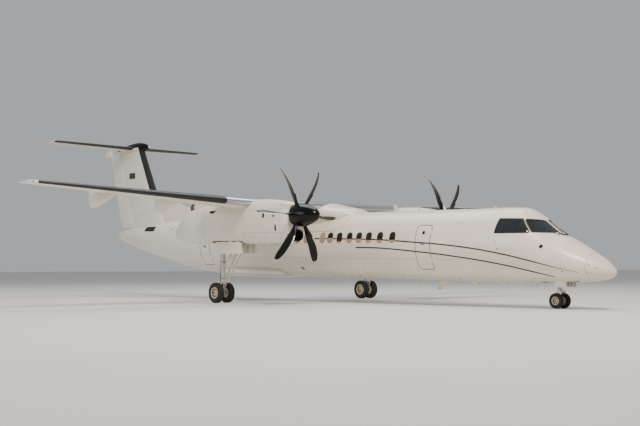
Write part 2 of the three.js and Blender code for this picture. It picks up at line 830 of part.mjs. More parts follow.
function buildPropellers() {
  for (const side of SIDES) {
    const centre = at(PROPELLER.station, side.sign * NACELLE_Y, PROPELLER.z);
    const drum = turnedOnX(
      [[0, DRUM.front], [DRUM.radius - 6, DRUM.front], [DRUM.radius, 0], [DRUM.radius, DRUM.back], [0, DRUM.back]],
      centre,
      24,
    );
    const shaft = rod(centre, centre.clone().add(new THREE.Vector3(SEAT_GAP - SHAFT.length, 0, 0)), SHAFT.radius, 16);
    const blades = Array.from({ length: PROPELLER.blades }, (_, i) => {
      const fromVertical = 30 + (360 / PROPELLER.blades) * i + side.bladePhase;
      return bladePiece()
        .rotateX(degrees(fromVertical))
        .translate(...centre.toArray());
    });
    place(`propeller_${side.name}`, join([drum, shaft, ...blades]), "bladeComposite");
    const spinner = turnedOnX([...SPINNER, [0, SPINNER[SPINNER.length - 1][1]]], centre, 24);
    place(`spinner_${side.name}`, spinner, "blackBoot");
  }
}

// Tail
const RUDDER_HINGE = { slope: 0.3175, station: 29960, z: 3300 };
const RUDDER_CHORD = 1150;
const FIN_LEADING = { slope: 0.537, station: 27810, z: 5360 };
const FIN = { low: 3350, high: 7650, thick: 0.105 };
const RUDDER = { low: 3485, high: 7594.5, footPin: 30.8 };
const RUDDER_HORN = { from: 32360, half: 45, low: 7450, high: 7860 };
const DORSAL = { from: 22600, to: 28500, low: 3400, high: 5400, front: 3900, halfWidth: 95, nose: 14 };
const BULLET = [
  // station, half width, bottom, top
  [28560, 20, 7835, 7875],
  [28740, 95, 7735, 7990],
  [29200, 165, 7640, 8120],
  [29700, 190, 7590, 8165],
  [30400, 175, 7590, 8120],
  [31000, 120, 7600, 8010],
  [31500, 80, 7620, 7930],
  [31750, 20, 7740, 7820],
];
const TAILPLANE = {
  root: { y: 0, station: 29860, chord: 2110, thick: 0.105 },
  tip: { y: 4635, station: 30290, chord: 1580, thick: 0.09 },
  z: 7870,
  dihedral: 0.016,
  hingeStation: 31180,
};
const ELEVATOR = [560, 4300];

function finAt(z) {
  const leading = FIN_LEADING.station + FIN_LEADING.slope * (z - FIN_LEADING.z);
  const hingeStation = RUDDER_HINGE.station + RUDDER_HINGE.slope * (z - RUDDER_HINGE.z);
  const chord = hingeStation + RUDDER_CHORD - leading;
  return {
    station: leading,
    y: 0,
    z,
    chord,
    thick: FIN.thick,
    hinge: (hingeStation - leading) / chord,
    upright: true,
  };
}

function tailplaneAt(y) {
  const { root, tip } = TAILPLANE;
  const share = Math.abs(y) / tip.y;
  const mix = (key) => root[key] + (tip[key] - root[key]) * share;
  const section = { station: mix("station"), y, chord: mix("chord"), thick: mix("thick") };
  return {
    ...section,
    z: TAILPLANE.z + Math.abs(y) * TAILPLANE.dihedral,
    hinge: (TAILPLANE.hingeStation - section.station) / section.chord,
  };
}

const fixedAhead = (section) => aerofoil({ ...section, to: aheadOfHinge(section) });
const turnsBehind = (section) => aerofoil({ ...section, from: section.hinge, roundNose: true });

function tailplaneSkin(gap = 0) {
  const ends = [-TAILPLANE.tip.y, -ELEVATOR[1] - 1, -ELEVATOR[1], 0, ELEVATOR[1], ELEVATOR[1] + 1, TAILPLANE.tip.y];
  return skin(
    ends.map((y) => {
      const section = tailplaneAt(y);
      const whole = Math.abs(y) > ELEVATOR[1];
      const to = whole ? 1 : aheadOfHinge(section) + gap / section.chord;
      return aerofoil({
        ...section,
        station: section.station - gap,
        chord: section.chord + 2 * gap,
        thick: section.thick * (1 + gap / 60),
        to,
      });
    }),
  );
}

const bulletLoft = (gap = 0) =>
  skin(
    BULLET.map(([station, half, bottom, top], i) =>
      ovalRing({
        station: station + (i === 0 ? -gap : gap),
        half: half + gap,
        bottom: bottom - gap,
        top: top + gap,
        points: 16,
      }),
    ),
  );

function dorsalPiece() {
  const { from, to, low, high, front, halfWidth, nose } = DORSAL;
  const foot = [
    [from, nose / 2],
    [to, halfWidth],
  ];
  const outline = foot.map(([station, half]) => [
    at(station, half, low),
    at(station, half, station === from ? front : high),
    at(station, -half, station === from ? front : high),
    at(station, -half, low),
  ]);
  return skin(outline);
}

function rudderPiece() {
  const ends = [RUDDER.low, RUDDER.high];
  const hingeAt = (z) => {
    const { station, chord, hinge } = finAt(z);
    return at(station + hinge * chord, 0, z);
  };
  const [low, high] = ends.map(hingeAt);
  const { from, half, low: hornLow, high: hornHigh } = RUDDER_HORN;
  const horn = block([from, TAIL_TIP], [-half, half], [hornLow, hornHigh]);
  return join([
    skin(ends.map((z) => turnsBehind(finAt(z)))),
    horn,
    hingePin(low, high, RUDDER.footPin),
    hingePin(high, low),
  ]);
}

function elevatorPiece() {
  const hingeAt = (y) => at(TAILPLANE.hingeStation, y, tailplaneAt(y).z);
  const ends = [ELEVATOR[0], ELEVATOR[1] - SWING_GAP];
  const [inner, outer] = ends.map(hingeAt);
  return join([
    skin(ends.map((y) => turnsBehind(tailplaneAt(y)))),
    hingePin(outer, inner),
  ]);
}

function buildTail() {
  const finSkin = skin([FIN.low, FIN.high].map((z) => fixedAhead(finAt(z))));
  const fin = cut(join([finSkin, dorsalPiece()]), [bodyTool(), bulletLoft(SEAT_GAP), tailplaneSkin(SEAT_GAP)]);
  place("fin", fin, "whitePaint");
  place("rudder", rudderPiece(), "whitePaint");
  place("tail_bullet", cut(bulletLoft(), [tailplaneSkin(SEAT_GAP)]), "whitePaint");
  place("tailplane", tailplaneSkin(), "whitePaint");
  for (const side of SIDES) {
    place(`elevator_${side.name}`, onSide(elevatorPiece(), side), "whitePaint");
  }
}

// Landing gear
const WHEEL_SEGMENTS = 24;
const BEAD_GAP = 0.6;
const TYRE_SECTION = [
  // share of the way from rim to tread, share of half the width
  [0.14, 0.88],
  [0.68, 1],
  [0.92, 0.78],
  [1, 0.4],
];
const BEAD_SHARE = 0.7;
const RIM_SECTION = [
  // share of the rim's radius, distance out from the rim's edge
  [1, 0],
  [0.86, 0],
  [0.62, -40],
  [0.4, 8],
  [0, 12],
];
const RIM_WIDTH_SHARE = 0.31; // half the rim's width as a share of the tyre's

// A tyre whose facets touch its real radius, one of them flat on the ground
function tyre(gear, centre) {
  const { radius, width, rim } = gear;
  const half = width / 2;
  const halfFacet = Math.PI / WHEEL_SEGMENTS;
  const bead = [rim + BEAD_GAP, half * BEAD_SHARE];
  const side = TYRE_SECTION.map(([out, across]) => [rim + (radius - rim) * out, half * across]);
  const outer = [bead, ...side];
  const inner = outer.map(([r, y]) => [r, -y]);
  const stretch = 1 / Math.cos(halfFacet);
  return turned([...inner, ...outer.reverse(), inner[0]], WHEEL_SEGMENTS)
    .scale(stretch, 1, stretch)
    .rotateY(halfFacet - GROUND_ATTITUDE)
    .translate(...centre.toArray());
}

// Two rims on one turning axle
function rims(gear, centre) {
  const { width, rim, offset, axle } = gear;
  const back = offset - width * RIM_WIDTH_SHARE;
  const face = offset + width * RIM_WIDTH_SHARE;
  const right = [[axle, back], [rim, back], ...RIM_SECTION.map(([share, out]) => [rim * share, face + out])];
  const left = right.map(([r, y]) => [r, -y]).reverse();
  return turnedOnY([...left, ...right], centre, WHEEL_SEGMENTS);
}

// Boss that carries the axle
function boss(centre, radius, halfWidth) {
  const reach = new THREE.Vector3(0, halfWidth, 0);
  return rod(centre.clone().sub(reach), centre.clone().add(reach), radius, 16);
}

function axleBore(gear, centre) {
  const reach = new THREE.Vector3(0, gear.offset, 0);
  return rod(centre.clone().sub(reach), centre.clone().add(reach), gear.axle + BORE_GAP, 24);
}

const MAIN_LEG = { radius: 92, foot: 830, piston: 66, overlap: 20, hubRadius: 98, hubHalf: 100 };
const MAIN_BRACES = [
  // station and height low, station and height high, radius
  [16330, 900, 14650, 3200, 42],
  [16390, 1500, 15450, 2500, 30],
  [15450, 2500, 15650, 3200, 30],
];
const TORQUE_LINKS = [
  // station and height of each end
  [16390, 980, 16160, 760],
  [16160, 760, 16390, 560],
];
const TORQUE_LINK = { radius: 20, offset: 27, knee: [16160, 760], kneeRadius: 24, kneeHalf: 40 };

function mainLeg() {
  const y = NACELLE_Y;
  const { station, radius } = MAIN_GEAR;
  const { foot, overlap, piston, hubRadius, hubHalf } = MAIN_LEG;
  const { offset, knee, kneeRadius, kneeHalf } = TORQUE_LINK;
  const axle = at(station, y, radius);
  const seat = WHEEL_BAY.top - SEAT_GAP;
  const links = TORQUE_LINKS.flatMap(([s0, z0, s1, z1]) =>
    [-offset, offset].map((across) => rod(at(s0, y + across, z0), at(s1, y + across, z1), TORQUE_LINK.radius, 6)),
  );
  const pieces = [
    rod(at(station, y, foot), at(station, y, seat), MAIN_LEG.radius, 16),
    rod(axle, at(station, y, foot + overlap), piston, 14),
    boss(axle, hubRadius, hubHalf),
    ...MAIN_BRACES.map(([s0, z0, s1, z1, r]) => rod(at(s0, y, z0), at(s1, y, z1), r, 8)),
    ...links,
    rod(at(knee[0], y - kneeHalf, knee[1]), at(knee[0], y + kneeHalf, knee[1]), kneeRadius, 8),
  ];
  return cut(join(pieces), [axleBore(MAIN_GEAR, axle)]);
}

const MAIN_DOORS = { stations: [14500, 16250], heights: [2085, 2760], thickness: 22 };
const MAIN_DOOR_Y = { outer: 396, inner: -418 }; // of the face nearer starboard, from the nacelle's middle

function buildMainGear() {
  const shell = nacelleLoft(SEAT_GAP);
  const leg = mainLeg();
  for (const side of SIDES) {
    place(`main_gear_leg_${side.name}`, onSide(leg, side), "legPaint");
    for (const [name, offset] of Object.entries(MAIN_DOOR_Y)) {
      const low = NACELLE_Y + offset;
      const plate = block(MAIN_DOORS.stations, [low, low + MAIN_DOORS.thickness], MAIN_DOORS.heights);
      place(`main_gear_door_${name}_${side.name}`, onSide(cut(plate, [shell]), side), "whitePaint");
    }
    const axle = at(MAIN_GEAR.station, side.sign * NACELLE_Y, MAIN_GEAR.radius);
    place(`main_wheels_${side.name}`, rims(MAIN_GEAR, axle), "castAlloy");
    for (const [name, direction] of [
      ["outer", side.sign],
      ["inner", -side.sign],
    ]) {
      const middle = axle.clone().add(new THREE.Vector3(0, direction * MAIN_GEAR.offset, 0));
      place(`main_tyre_${name}_${side.name}`, tyre(MAIN_GEAR, middle), "tyreRubber");
    }
  }
}

const NOSE_LEG = { radius: 72, foot: 960, piston: 50, hubRadius: 74, hubHalf: 90 };
const NOSE_BRACE = { low: 1120, aft: 500, below: 40, radius: 34 };
const NOSE_COLLAR = { radius: 84, height: 70 };
const NOSE_LINK = { aft: 190, knee: 730, high: 60, lowAft: 30, lowAbove: 20, radius: 20 };
const NOSE_DOOR = { stations: [1880, 2440], y: 306, heights: [1010, 1400], thickness: 20 };

function buildNoseGear() {
  const { station, radius, offset } = NOSE_GEAR;
  const { foot } = NOSE_LEG;
  const axle = at(station, 0, groundUnder(station) + radius);
  const knee = at(station + NOSE_LINK.aft, 0, NOSE_LINK.knee);
  const leg = join([
    rod(at(station, 0, foot), at(station, 0, NOSE_BAY.top - SEAT_GAP), NOSE_LEG.radius, 16),
    rod(
      at(station, 0, NOSE_BRACE.low),
      at(station + NOSE_BRACE.aft, 0, NOSE_BAY.top - NOSE_BRACE.below),
      NOSE_BRACE.radius,
      8,
    ),
  ]);
  place("nose_gear_leg", leg, "legPaint");
  const collarLow = at(station, 0, foot - NOSE_COLLAR.height);
  const turning = cut(
    join([
      rod(axle, at(station, 0, foot - SEAT_GAP), NOSE_LEG.piston, 16),
      boss(axle, NOSE_LEG.hubRadius, NOSE_LEG.hubHalf),
      rod(collarLow, at(station, 0, foot - SEAT_GAP), NOSE_COLLAR.radius, 16),
      rod(at(station, 0, foot - NOSE_LINK.high), knee, NOSE_LINK.radius, 8),
      rod(knee, axle.clone().add(new THREE.Vector3(-NOSE_LINK.lowAft, 0, NOSE_LINK.lowAbove)), NOSE_LINK.radius, 8),
    ]),
    [axleBore(NOSE_GEAR, axle)],
  );
  place("nose_gear_steering", turning, "legPaint");
  place("nose_wheels", rims(NOSE_GEAR, axle), "castAlloy");
  for (const side of SIDES) {
    const middle = axle.clone().add(new THREE.Vector3(0, side.sign * offset, 0));
    place(`nose_tyre_${side.name}`, tyre(NOSE_GEAR, middle), "tyreRubber");
    const { stations, y, heights, thickness } = NOSE_DOOR;
    const plate = onSide(block(stations, [y, y + thickness], heights), side);
    place(`nose_gear_door_${side.name}`, cut(plate, [bodyTool()]), "whitePaint");
  }
}

buildBody();
buildWing();
buildNacelles();
buildPropellers();
buildTail();
buildMainGear();
buildNoseGear();

export default group;
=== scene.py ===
"""A high-wing turboprop airliner, parked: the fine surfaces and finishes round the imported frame.

Lengths are metres. A station runs aft along the level airframe from a datum just ahead of the nose,
y runs to port and z up. One matrix sets the level airframe nose down, as it stands on its gear.
"""
import logging
import math
from dataclasses import dataclass, field
from enum import Enum
from typing import Callable, Iterable, Optional, Sequence

import bmesh
import bpy
import numpy as np
from mathutils import Matrix, Vector


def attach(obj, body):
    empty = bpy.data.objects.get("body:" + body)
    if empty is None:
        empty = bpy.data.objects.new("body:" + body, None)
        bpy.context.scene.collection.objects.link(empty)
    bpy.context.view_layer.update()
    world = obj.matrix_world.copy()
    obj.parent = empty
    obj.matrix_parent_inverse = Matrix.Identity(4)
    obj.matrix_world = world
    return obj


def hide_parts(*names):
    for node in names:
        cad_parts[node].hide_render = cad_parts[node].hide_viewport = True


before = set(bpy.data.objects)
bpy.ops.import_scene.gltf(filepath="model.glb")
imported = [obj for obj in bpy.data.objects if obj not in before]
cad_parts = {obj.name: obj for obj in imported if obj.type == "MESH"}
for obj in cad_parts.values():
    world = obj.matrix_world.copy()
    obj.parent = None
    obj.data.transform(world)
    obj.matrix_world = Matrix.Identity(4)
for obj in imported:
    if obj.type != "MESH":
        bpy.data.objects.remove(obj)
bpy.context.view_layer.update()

log = logging.getLogger("airliner")

# The level airframe and how it stands
MIDDLE = 16.615
PIVOT_X = 0.225
CENTRE_SHIFT = -0.078
ATTITUDE = 0.0172
NACELLE_Y = 4.4
STANCE = (
    Matrix.Translation((PIVOT_X + CENTRE_SHIFT, 0, 0))
    @ Matrix.Rotation(ATTITUDE, 4, "Y")
    @ Matrix.Translation((-PIVOT_X, 0, 0))
)
MM = 0.001
UP = Vector((0, 0, 1))
ACROSS = Vector((0, 1, 0))

Point2 = tuple[float, float]
Place = Callable[[float, float, float], Vector]


class Side(Enum):
    """Which side of the aircraft a piece is on; the value is the sign of its y."""

    PORT = 1
    STARBOARD = -1

    @property
    def label(self) -> str:
        """Name used in node and piece names."""
        return self.name.lower()


def at(station: float, y: float, z: float) -> Vector:
    """Point of the level airframe."""
    return Vector((MIDDLE - station, y, z))


# Small geometry helpers


class Track:
    """A smooth curve through table rows that never overshoots them."""

    def __init__(self, xs: Sequence[float], ys: Sequence[float]) -> None:
        """Works out the slopes at the rows.

        Args:
            xs: Rising places of the rows.
            ys: Values at the rows.
        """
        self.x = np.asarray(xs, float)
        self.y = np.asarray(ys, float)
        step = np.diff(self.x)
        rise = np.diff(self.y) / step
        slope = np.zeros_like(self.y)
        slope[0], slope[-1] = rise[0], rise[-1]
        for i in range(1, len(slope) - 1):
            if rise[i - 1] * rise[i] > 0:
                before, after = 2 * step[i] + step[i - 1], step[i] + 2 * step[i - 1]
                slope[i] = (before + after) / (before / rise[i - 1] + after / rise[i])
        self.slope = slope

    def __call__(self, x: float) -> float:
        """Value at a place, held level past the ends."""
        x = min(max(x, self.x[0]), self.x[-1])
        i = min(max(int(np.searchsorted(self.x, x)) - 1, 0), len(self.x) - 2)
        span = self.x[i + 1] - self.x[i]
        t = (x - self.x[i]) / span
        return float(
            self.y[i] * (1 + 2 * t) * (1 - t) ** 2
            + self.slope[i] * span * t * (1 - t) ** 2
            + self.y[i + 1] * t * t * (3 - 2 * t)
            + self.slope[i + 1] * span * t * t * (t - 1)
        )


@dataclass
class Shell:
    """A long body of oval sections, from rows of station, half width, bottom and top."""

    rows: Sequence[tuple[float, float, float, float]]
    y: float = 0.0
    power: float = 1.0
    blunt: bool = False

    def __post_init__(self) -> None:
        """Makes one curve for each column; a blunt nose is followed on the root of the distance."""
        start = self.rows[0][0]
        self.warp = (lambda s: math.sqrt(max(s - start, 0.0))) if self.blunt else (lambda s: s)
        places = [self.warp(row[0]) for row in self.rows]
        self.half, self.low, self.high = (Track(places, [row[k] for row in self.rows]) for k in (1, 2, 3))

    def section(self, station: float, inset: float = 0.0) -> tuple[float, float, float]:
        """Half width, middle height and half height of the section at a station."""
        u = self.warp(station)
        low, high = self.low(u), self.high(u)
        return max(self.half(u) - inset, 0.004), (low + high) / 2, max((high - low) / 2 - inset, 0.004)

    def at_angle(self, station: float, angle: float, offset: float = 0.0) -> Vector:
        """Point on the skin at an angle up from straight to port, in radians."""
        half, middle, tall = self.section(station, -offset)
        bend = lambda value: math.copysign(abs(value) ** self.power, value)
        return at(station, self.y + half * bend(math.cos(angle)), middle + tall * bend(math.sin(angle)))

    def ring(self, station: float, count: int, inset: float = 0.0) -> list[Vector]:
        """Points round the section at a station."""
        return [self.at_angle(station, 2 * math.pi * i / count, -inset) for i in range(count)]

    def angle_at(self, station: float, z: float) -> float:
        """Angle of the port skin at a height."""
        _, middle, tall = self.section(station)
        share = min(max((z - middle) / tall, -1.0), 1.0)
        return math.asin(math.copysign(abs(share) ** (1 / self.power), share))

    def on_side(self, side: Side) -> Place:
        """Places points on one side of the skin by station, height and distance out."""

        def place(station: float, z: float, offset: float) -> Vector:
            point = self.at_angle(station, self.angle_at(station, z), offset)
            if side is Side.STARBOARD:
                point.y = 2 * self.y - point.y
            return point

        return place

    def round_about(self) -> Place:
        """Places points anywhere on the skin by station, angle in degrees and distance out."""
        return lambda station, angle, offset: self.at_angle(station, math.radians(angle), offset)


def spaced(start: float, stop: float, step: float) -> list[float]:
    """Evenly spaced values from start to stop, both kept."""
    return list(np.linspace(start, stop, max(2, round(abs(stop - start) / step) + 1)))


def rounded(corners: Sequence[Point2], radius: float, steps: int = 6) -> list[Point2]:
    """An outline whose corners are turned into arcs.

    Args:
        corners: Corners in order.
        radius: Radius of each arc.
        steps: Edges in each arc.

    Returns:
        The outline's points in the same order.
    """
    result: list[Point2] = []
    for i, corner in enumerate(corners):
        here = Vector(corner)
        to_before = (Vector(corners[i - 1]) - here).normalized()
        to_after = (Vector(corners[(i + 1) % len(corners)]) - here).normalized()
        half = to_before.angle(to_after) / 2
        middle = here + (to_before + to_after).normalized() * (radius / math.sin(half))
        first = here + to_before * (radius / math.tan(half)) - middle
        last = here + to_after * (radius / math.tan(half)) - middle
        for k in range(steps + 1):
            spoke = first.slerp(last, k / steps).normalized() * radius + middle
            result.append((spoke.x, spoke.y))
    return result


def rectangle(station: float, low: float, width: float, height: float) -> list[Point2]:
    """Corners of an upright rectangle about a station."""
    left, right = station - width / 2, station + width / 2
    return [(left, low), (right, low), (right, low + height), (left, low + height)]


def resampled(outline: Sequence[Point2], step: float) -> list[Point2]:
    """A closed outline with extra points so that no edge is longer than a step."""
    result: list[Point2] = []
    for here, after in zip(outline, list(outline[1:]) + [outline[0]]):
        pieces = max(1, math.ceil(math.dist(here, after) / step))
        result += [tuple(np.array(here) + (np.array(after) - np.array(here)) * k / pieces)
                   for k in range(pieces)]
    return result


def grown(outline: Sequence[Point2], distance: float) -> list[Point2]:
    """An outline pushed out along its corners by a distance, or drawn in by a negative one."""
    points = [Vector(point) for point in outline]
    area = sum(a.x * b.y - b.x * a.y for a, b in zip(points, points[1:] + points[:1]))
    turn = 1 if area > 0 else -1
    result = []
    for i, point in enumerate(points):
        into, out = point - points[i - 1], points[(i + 1) % len(points)] - point
        sides = [Vector((edge.y, -edge.x)).normalized() * turn for edge in (into, out) if edge.length > 1e-9]
        normal = sum(sides, Vector((0, 0))).normalized()
        result.append(tuple(point + normal * distance / max(normal.dot(sides[0]), 0.5)))
    return result


# Finishes


def linear(code: str) -> tuple[float, float, float, float]:
    """A hex colour as the linear values that shaders take."""
    values = [int(code[i : i + 2], 16) / 255 for i in (0, 2, 4)]
    return (*[v / 12.92 if v <= 0.04045 else ((v + 0.055) / 1.055) ** 2.4 for v in values], 1.0)


def add_node(tree: bpy.types.NodeTree, kind: str, links: Optional[dict] = None, **settings) -> bpy.types.Node:
    """Adds a shader node.

    Args:
        tree: Node tree it goes into.
        kind: Node type.
        links: Input name or number to the socket or constant that feeds it.
        **settings: Attributes of the node.

    Returns:
        The new node.
    """
    node = tree.nodes.new(kind)
    for name, value in settings.items():
        setattr(node, name, value)
    for name, value in (links or {}).items():
        if isinstance(value, bpy.types.NodeSocket):
            tree.links.new(value, node.inputs[name])
        else:
            node.inputs[name].default_value = value
    return node


@dataclass(frozen=True)
class Finish:
    """A finish with a soft variation of colour and gloss, and a fine relief."""

    name: str
    colour: str
    roughness: float
    metallic: float = 0.0
    stain: str = ""  # second colour
    stain_mm: float = 400.0  # size of its patches
    stain_share: float = 0.25
    relief_mm: float = 0.0  # height of the grain
    grain_mm: float = 2.0
    coat: float = 0.0
    transmission: float = 0.0
    ior: float = 1.5
    glow: float = 0.0
    sheen: float = 0.0

    def pattern(self, tree: bpy.types.NodeTree, coords: bpy.types.NodeSocket) -> bpy.types.NodeSocket:
        """Colour over the surface: the base with patches of the stain."""
        noise = add_node(tree, "ShaderNodeTexNoise",
                         {"Vector": coords, "Scale": 1 / (self.stain_mm * MM), "Detail": 5.0})
        amount = add_node(
            tree, "ShaderNodeMapRange",
            {"Value": noise.outputs["Fac"], 1: 0.42, 2: 0.72, 3: 0.0, 4: self.stain_share}
        )
        mix = add_node(
            tree,
            "ShaderNodeMix",
            {0: amount.outputs["Result"], 6: linear(self.colour), 7: linear(self.stain or self.colour)},
            data_type="RGBA",
        )
        return mix.outputs[2]

    def height(self, tree: bpy.types.NodeTree, coords: bpy.types.NodeSocket) -> bpy.types.NodeSocket:
        """Relief over the surface, from 0 to 1."""
        return add_node(
            tree, "ShaderNodeTexNoise", {"Vector": coords, "Scale": 1 / (self.grain_mm * MM), "Detail": 2.0}
        ).outputs["Fac"]

    def material(self) -> bpy.types.Material:
        """The Blender material, made once."""
        found = bpy.data.materials.get(self.name)
        if found:
            return found
        result = bpy.data.materials.new(self.name)
        result.use_nodes = True
        tree = result.node_tree
        tree.nodes.clear()
        coords = add_node(tree, "ShaderNodeTexCoord").outputs["Object"]
        gloss = add_node(tree, "ShaderNodeTexNoise",
                         {"Vector": coords, "Scale": 2.5 / (self.stain_mm * MM), "Detail": 3.0})
        rough = add_node(
            tree,
            "ShaderNodeMapRange",
            {"Value": gloss.outputs["Fac"], 1: 0.3, 2: 0.7, 3: self.roughness * 0.88,
             4: min(self.roughness * 1.15, 1.0)},
        )
        shader = add_node(
            tree,
            "ShaderNodeBsdfPrincipled",
            {"Base Color": self.pattern(tree, coords), "Roughness": rough.outputs["Result"],
             "Metallic": self.metallic},
        )
        if not self.metallic:
            shader.inputs["IOR"].default_value = self.ior
        shader.inputs["Coat Weight"].default_value = self.coat
        shader.inputs["Coat Roughness"].default_value = 0.08
        shader.inputs["Transmission Weight"].default_value = self.transmission
        shader.inputs["Sheen Weight"].default_value = self.sheen
        if self.glow:
            shader.inputs["Emission Color"].default_value = linear(self.colour)
            shader.inputs["Emission Strength"].default_value = self.glow
        if self.relief_mm:
            bump = add_node(
                tree, "ShaderNodeBump",
                {"Height": self.height(tree, coords), "Distance": self.relief_mm * MM, "Strength": 0.6}
            )
            tree.links.new(bump.outputs["Normal"], shader.inputs["Normal"])
        add_node(tree, "ShaderNodeOutputMaterial", {"Surface": shader.outputs["BSDF"]})
        return result


@dataclass(frozen=True)
class PaintedSkin(Finish):
    """Gloss paint over riveted sheet: faint frame lines, soft dents between them and drawn-out grime."""

    frame_mm: float = 508.0
    line_mm: float = 7.0

    def pattern(self, tree: bpy.types.NodeTree, coords: bpy.types.NodeSocket) -> bpy.types.NodeSocket:
        """Base colour with faint darker lines at the frames and grime drawn out along the airflow."""
        drawn = add_node(tree, "ShaderNodeMapping", {"Vector": coords, "Scale": (0.25, 1.0, 1.0)})
        base = super().pattern(tree, drawn.outputs["Vector"])
        x = add_node(tree, "ShaderNodeSeparateXYZ", {0: coords}).outputs["X"]
        turns = add_node(tree, "ShaderNodeMath", {0: x, 1: 1 / (self.frame_mm * MM)}, operation="MULTIPLY")
        share = add_node(tree, "ShaderNodeMath", {0: turns.outputs[0]}, operation="FRACT")
        line = add_node(
            tree, "ShaderNodeMath", {0: share.outputs[0], 1: 0.5, 2: self.line_mm / self.frame_mm / 2},
            operation="COMPARE"
        )
        weak = add_node(tree, "ShaderNodeMath", {0: line.outputs[0], 1: 0.16}, operation="MULTIPLY")
        mix = add_node(
            tree, "ShaderNodeMix", {0: weak.outputs[0], 6: base, 7: linear("8d8577")}, data_type="RGBA"
        )
        return mix.outputs[2]


@dataclass(frozen=True)
class Ridged(Finish):
    """A finish with straight ridges along one axis, such as inflatable boot tubes or grip strips."""

    pitch_mm: float = 40.0
    axis: str = "Z"

    def height(self, tree: bpy.types.NodeTree, coords: bpy.types.NodeSocket) -> bpy.types.NodeSocket:
        """Rows of ridges."""
        wave = add_node(
            tree,
            "ShaderNodeTexWave",
            {"Vector": coords, "Scale": 0.31416 / (self.pitch_mm * MM), "Distortion": 0.0},
            bands_direction=self.axis,
        )
        return wave.outputs["Fac"]


# Two-pack gloss paint on aluminium sheet: warm white, a sharp sheen that follows the curve
WHITE_PAINT = PaintedSkin("white_gloss_paint", "e9e2d4", 0.30, stain="c9bfae", stain_mm=900, stain_share=0.35,
                          relief_mm=1.2, grain_mm=420, coat=0.25)
# Satin paint on a composite moulding: a shade duller than the metal skin, with no frame lines
SATIN_PAINT = Finish("white_satin_paint", "e2dacb", 0.42, stain="cdc4b4", stain_mm=500, relief_mm=0.4,
                     grain_mm=260)
# Painted filler in panel joints: reads as a thin soft line
JOINT_SHADE = Finish("joint_sealant", "6f685d", 0.7, stain="5b554c", stain_mm=60, relief_mm=0.2)
# Moulded rubber seal round doors and panes, and the other black rubber parts: near black and dull. The same
# black is painted shade in the gaps round the fixed doors, in the wheels' hand holes, the nacelle slots and
# the drains
RUBBER_AND_PAINTED_SHADE = Finish("door_seal_rubber", "191a1b", 0.75, stain="2a2a2a", stain_mm=80, relief_mm=0.3)
# Gloss bronze-brown paint of the cheat lines
STRIPE_PAINT = Finish("bronze_stripe_paint", "2b1f17", 0.35, stain="3a2c21", stain_mm=300, coat=0.2)
# Neoprene de-icing boot: satin black with shallow inflation tubes along the edge
BOOT_RUBBER = Ridged("neoprene_boot", "0f1012", 0.46, stain="1d1e20", stain_mm=160, relief_mm=1.5,
                     pitch_mm=45)
# Polished bare aluminium leading edge: bright, slightly streaked
BARE_METAL = Finish("polished_aluminium", "c9ccd0", 0.22, metallic=1.0, stain="9da2a8", stain_mm=120,
                    relief_mm=0.2)
# Dark plain square on the fin
SQUARE_PAINT = Finish("dark_gloss_panel", "2b241d", 0.35, stain="3a3128", stain_mm=90, coat=0.2)
# Laminated windscreen glass, tinted: black from outside, with the flight deck faint behind it
COCKPIT_GLASS = Finish("tinted_laminated_glass", "5f6a72", 0.03, transmission=0.9, ior=1.5)
# Stretched acrylic cabin pane over a dark cabin, drawn opaque and dark: painted shade of the cabin behind it
CABIN_ACRYLIC = Finish("dark_acrylic", "1b1712", 0.08, stain="2b241b", stain_mm=120, ior=1.49)
# Moulded window blind seen through the pane: pale and soft
BLIND_PLASTIC = Finish("moulded_blind", "a3927c", 0.35, stain="8d7d68", stain_mm=90)
# Woven composite under black polyurethane: satin black blades
BLADE_BLACK = Finish("black_blade_paint", "090909", 0.30, stain="141414", stain_mm=120, relief_mm=0.1,
                     ior=1.36)
# Gloss black spinner paint: a clear highlight on its shoulder
SPINNER_BLACK = Finish("black_spinner_paint", "050506", 0.14, stain="0a0a0c", stain_mm=200, ior=1.33)
# Electroformed nickel guard on the blade edge
NICKEL = Finish("nickel_guard", "dedad2", 0.34, metallic=1.0, stain="b5b0a6", stain_mm=70)
# Grey-white enamel on forged steel legs, with oily grime
LEG_ENAMEL = Finish("leg_enamel", "cfccc2", 0.38, stain="8b8371", stain_mm=90, stain_share=0.5, relief_mm=0.2)
# Hard chrome on the sliding tubes
CHROME = Finish("hard_chrome", "d6d8da", 0.10, metallic=1.0, stain="b5b8ba", stain_mm=90)
# Zinc and steel hardware: mid grey metal
STEEL = Finish("plated_steel", "8e8c88", 0.42, metallic=1.0, stain="6b6761", stain_mm=40, relief_mm=0.1)
# Heat-tinted nickel alloy of the jet pipe: brown and straw patches
HEAT_ALLOY = Finish("heat_tinted_alloy", "857866", 0.38, metallic=1.0, stain="4a3a2e", stain_mm=160,
                    stain_share=0.8)
# Soot inside the jet pipe; the same near black is painted shade on the walls of the chin intake's duct
SOOT_AND_PAINTED_SHADE = Finish("soot_and_painted_shade", "16130f", 0.85, stain="2a241d", stain_mm=80)
# Epoxy primer in the wheel bays: dull grey-green
BAY_PRIMER = Finish("bay_primer", "8b8a78", 0.65, stain="55503f", stain_mm=200, stain_share=0.6,
                    relief_mm=0.3)
# Cast aluminium wheels under pale enamel, with patches of brake dust
WHEEL_ENAMEL = Finish("wheel_enamel", "cdc3ae", 0.40, stain="7a6d58", stain_mm=60, stain_share=0.6,
                      relief_mm=0.2)
# Painted shade in the hollow of the wheels and on their hub caps: dark, mottled with brake dust
WHEEL_SHADE = Finish("wheel_painted_shade", "3b352d", 0.55, stain="1f1c18", stain_mm=50, stain_share=0.6,
                     relief_mm=0.2)
# Tread and sidewall rubber, dusted grey
TYRE_RUBBER = Finish("tyre_rubber", "1d1c1b", 0.86, stain="3a3630", stain_mm=110, stain_share=0.5,
                     relief_mm=0.5, grain_mm=4)
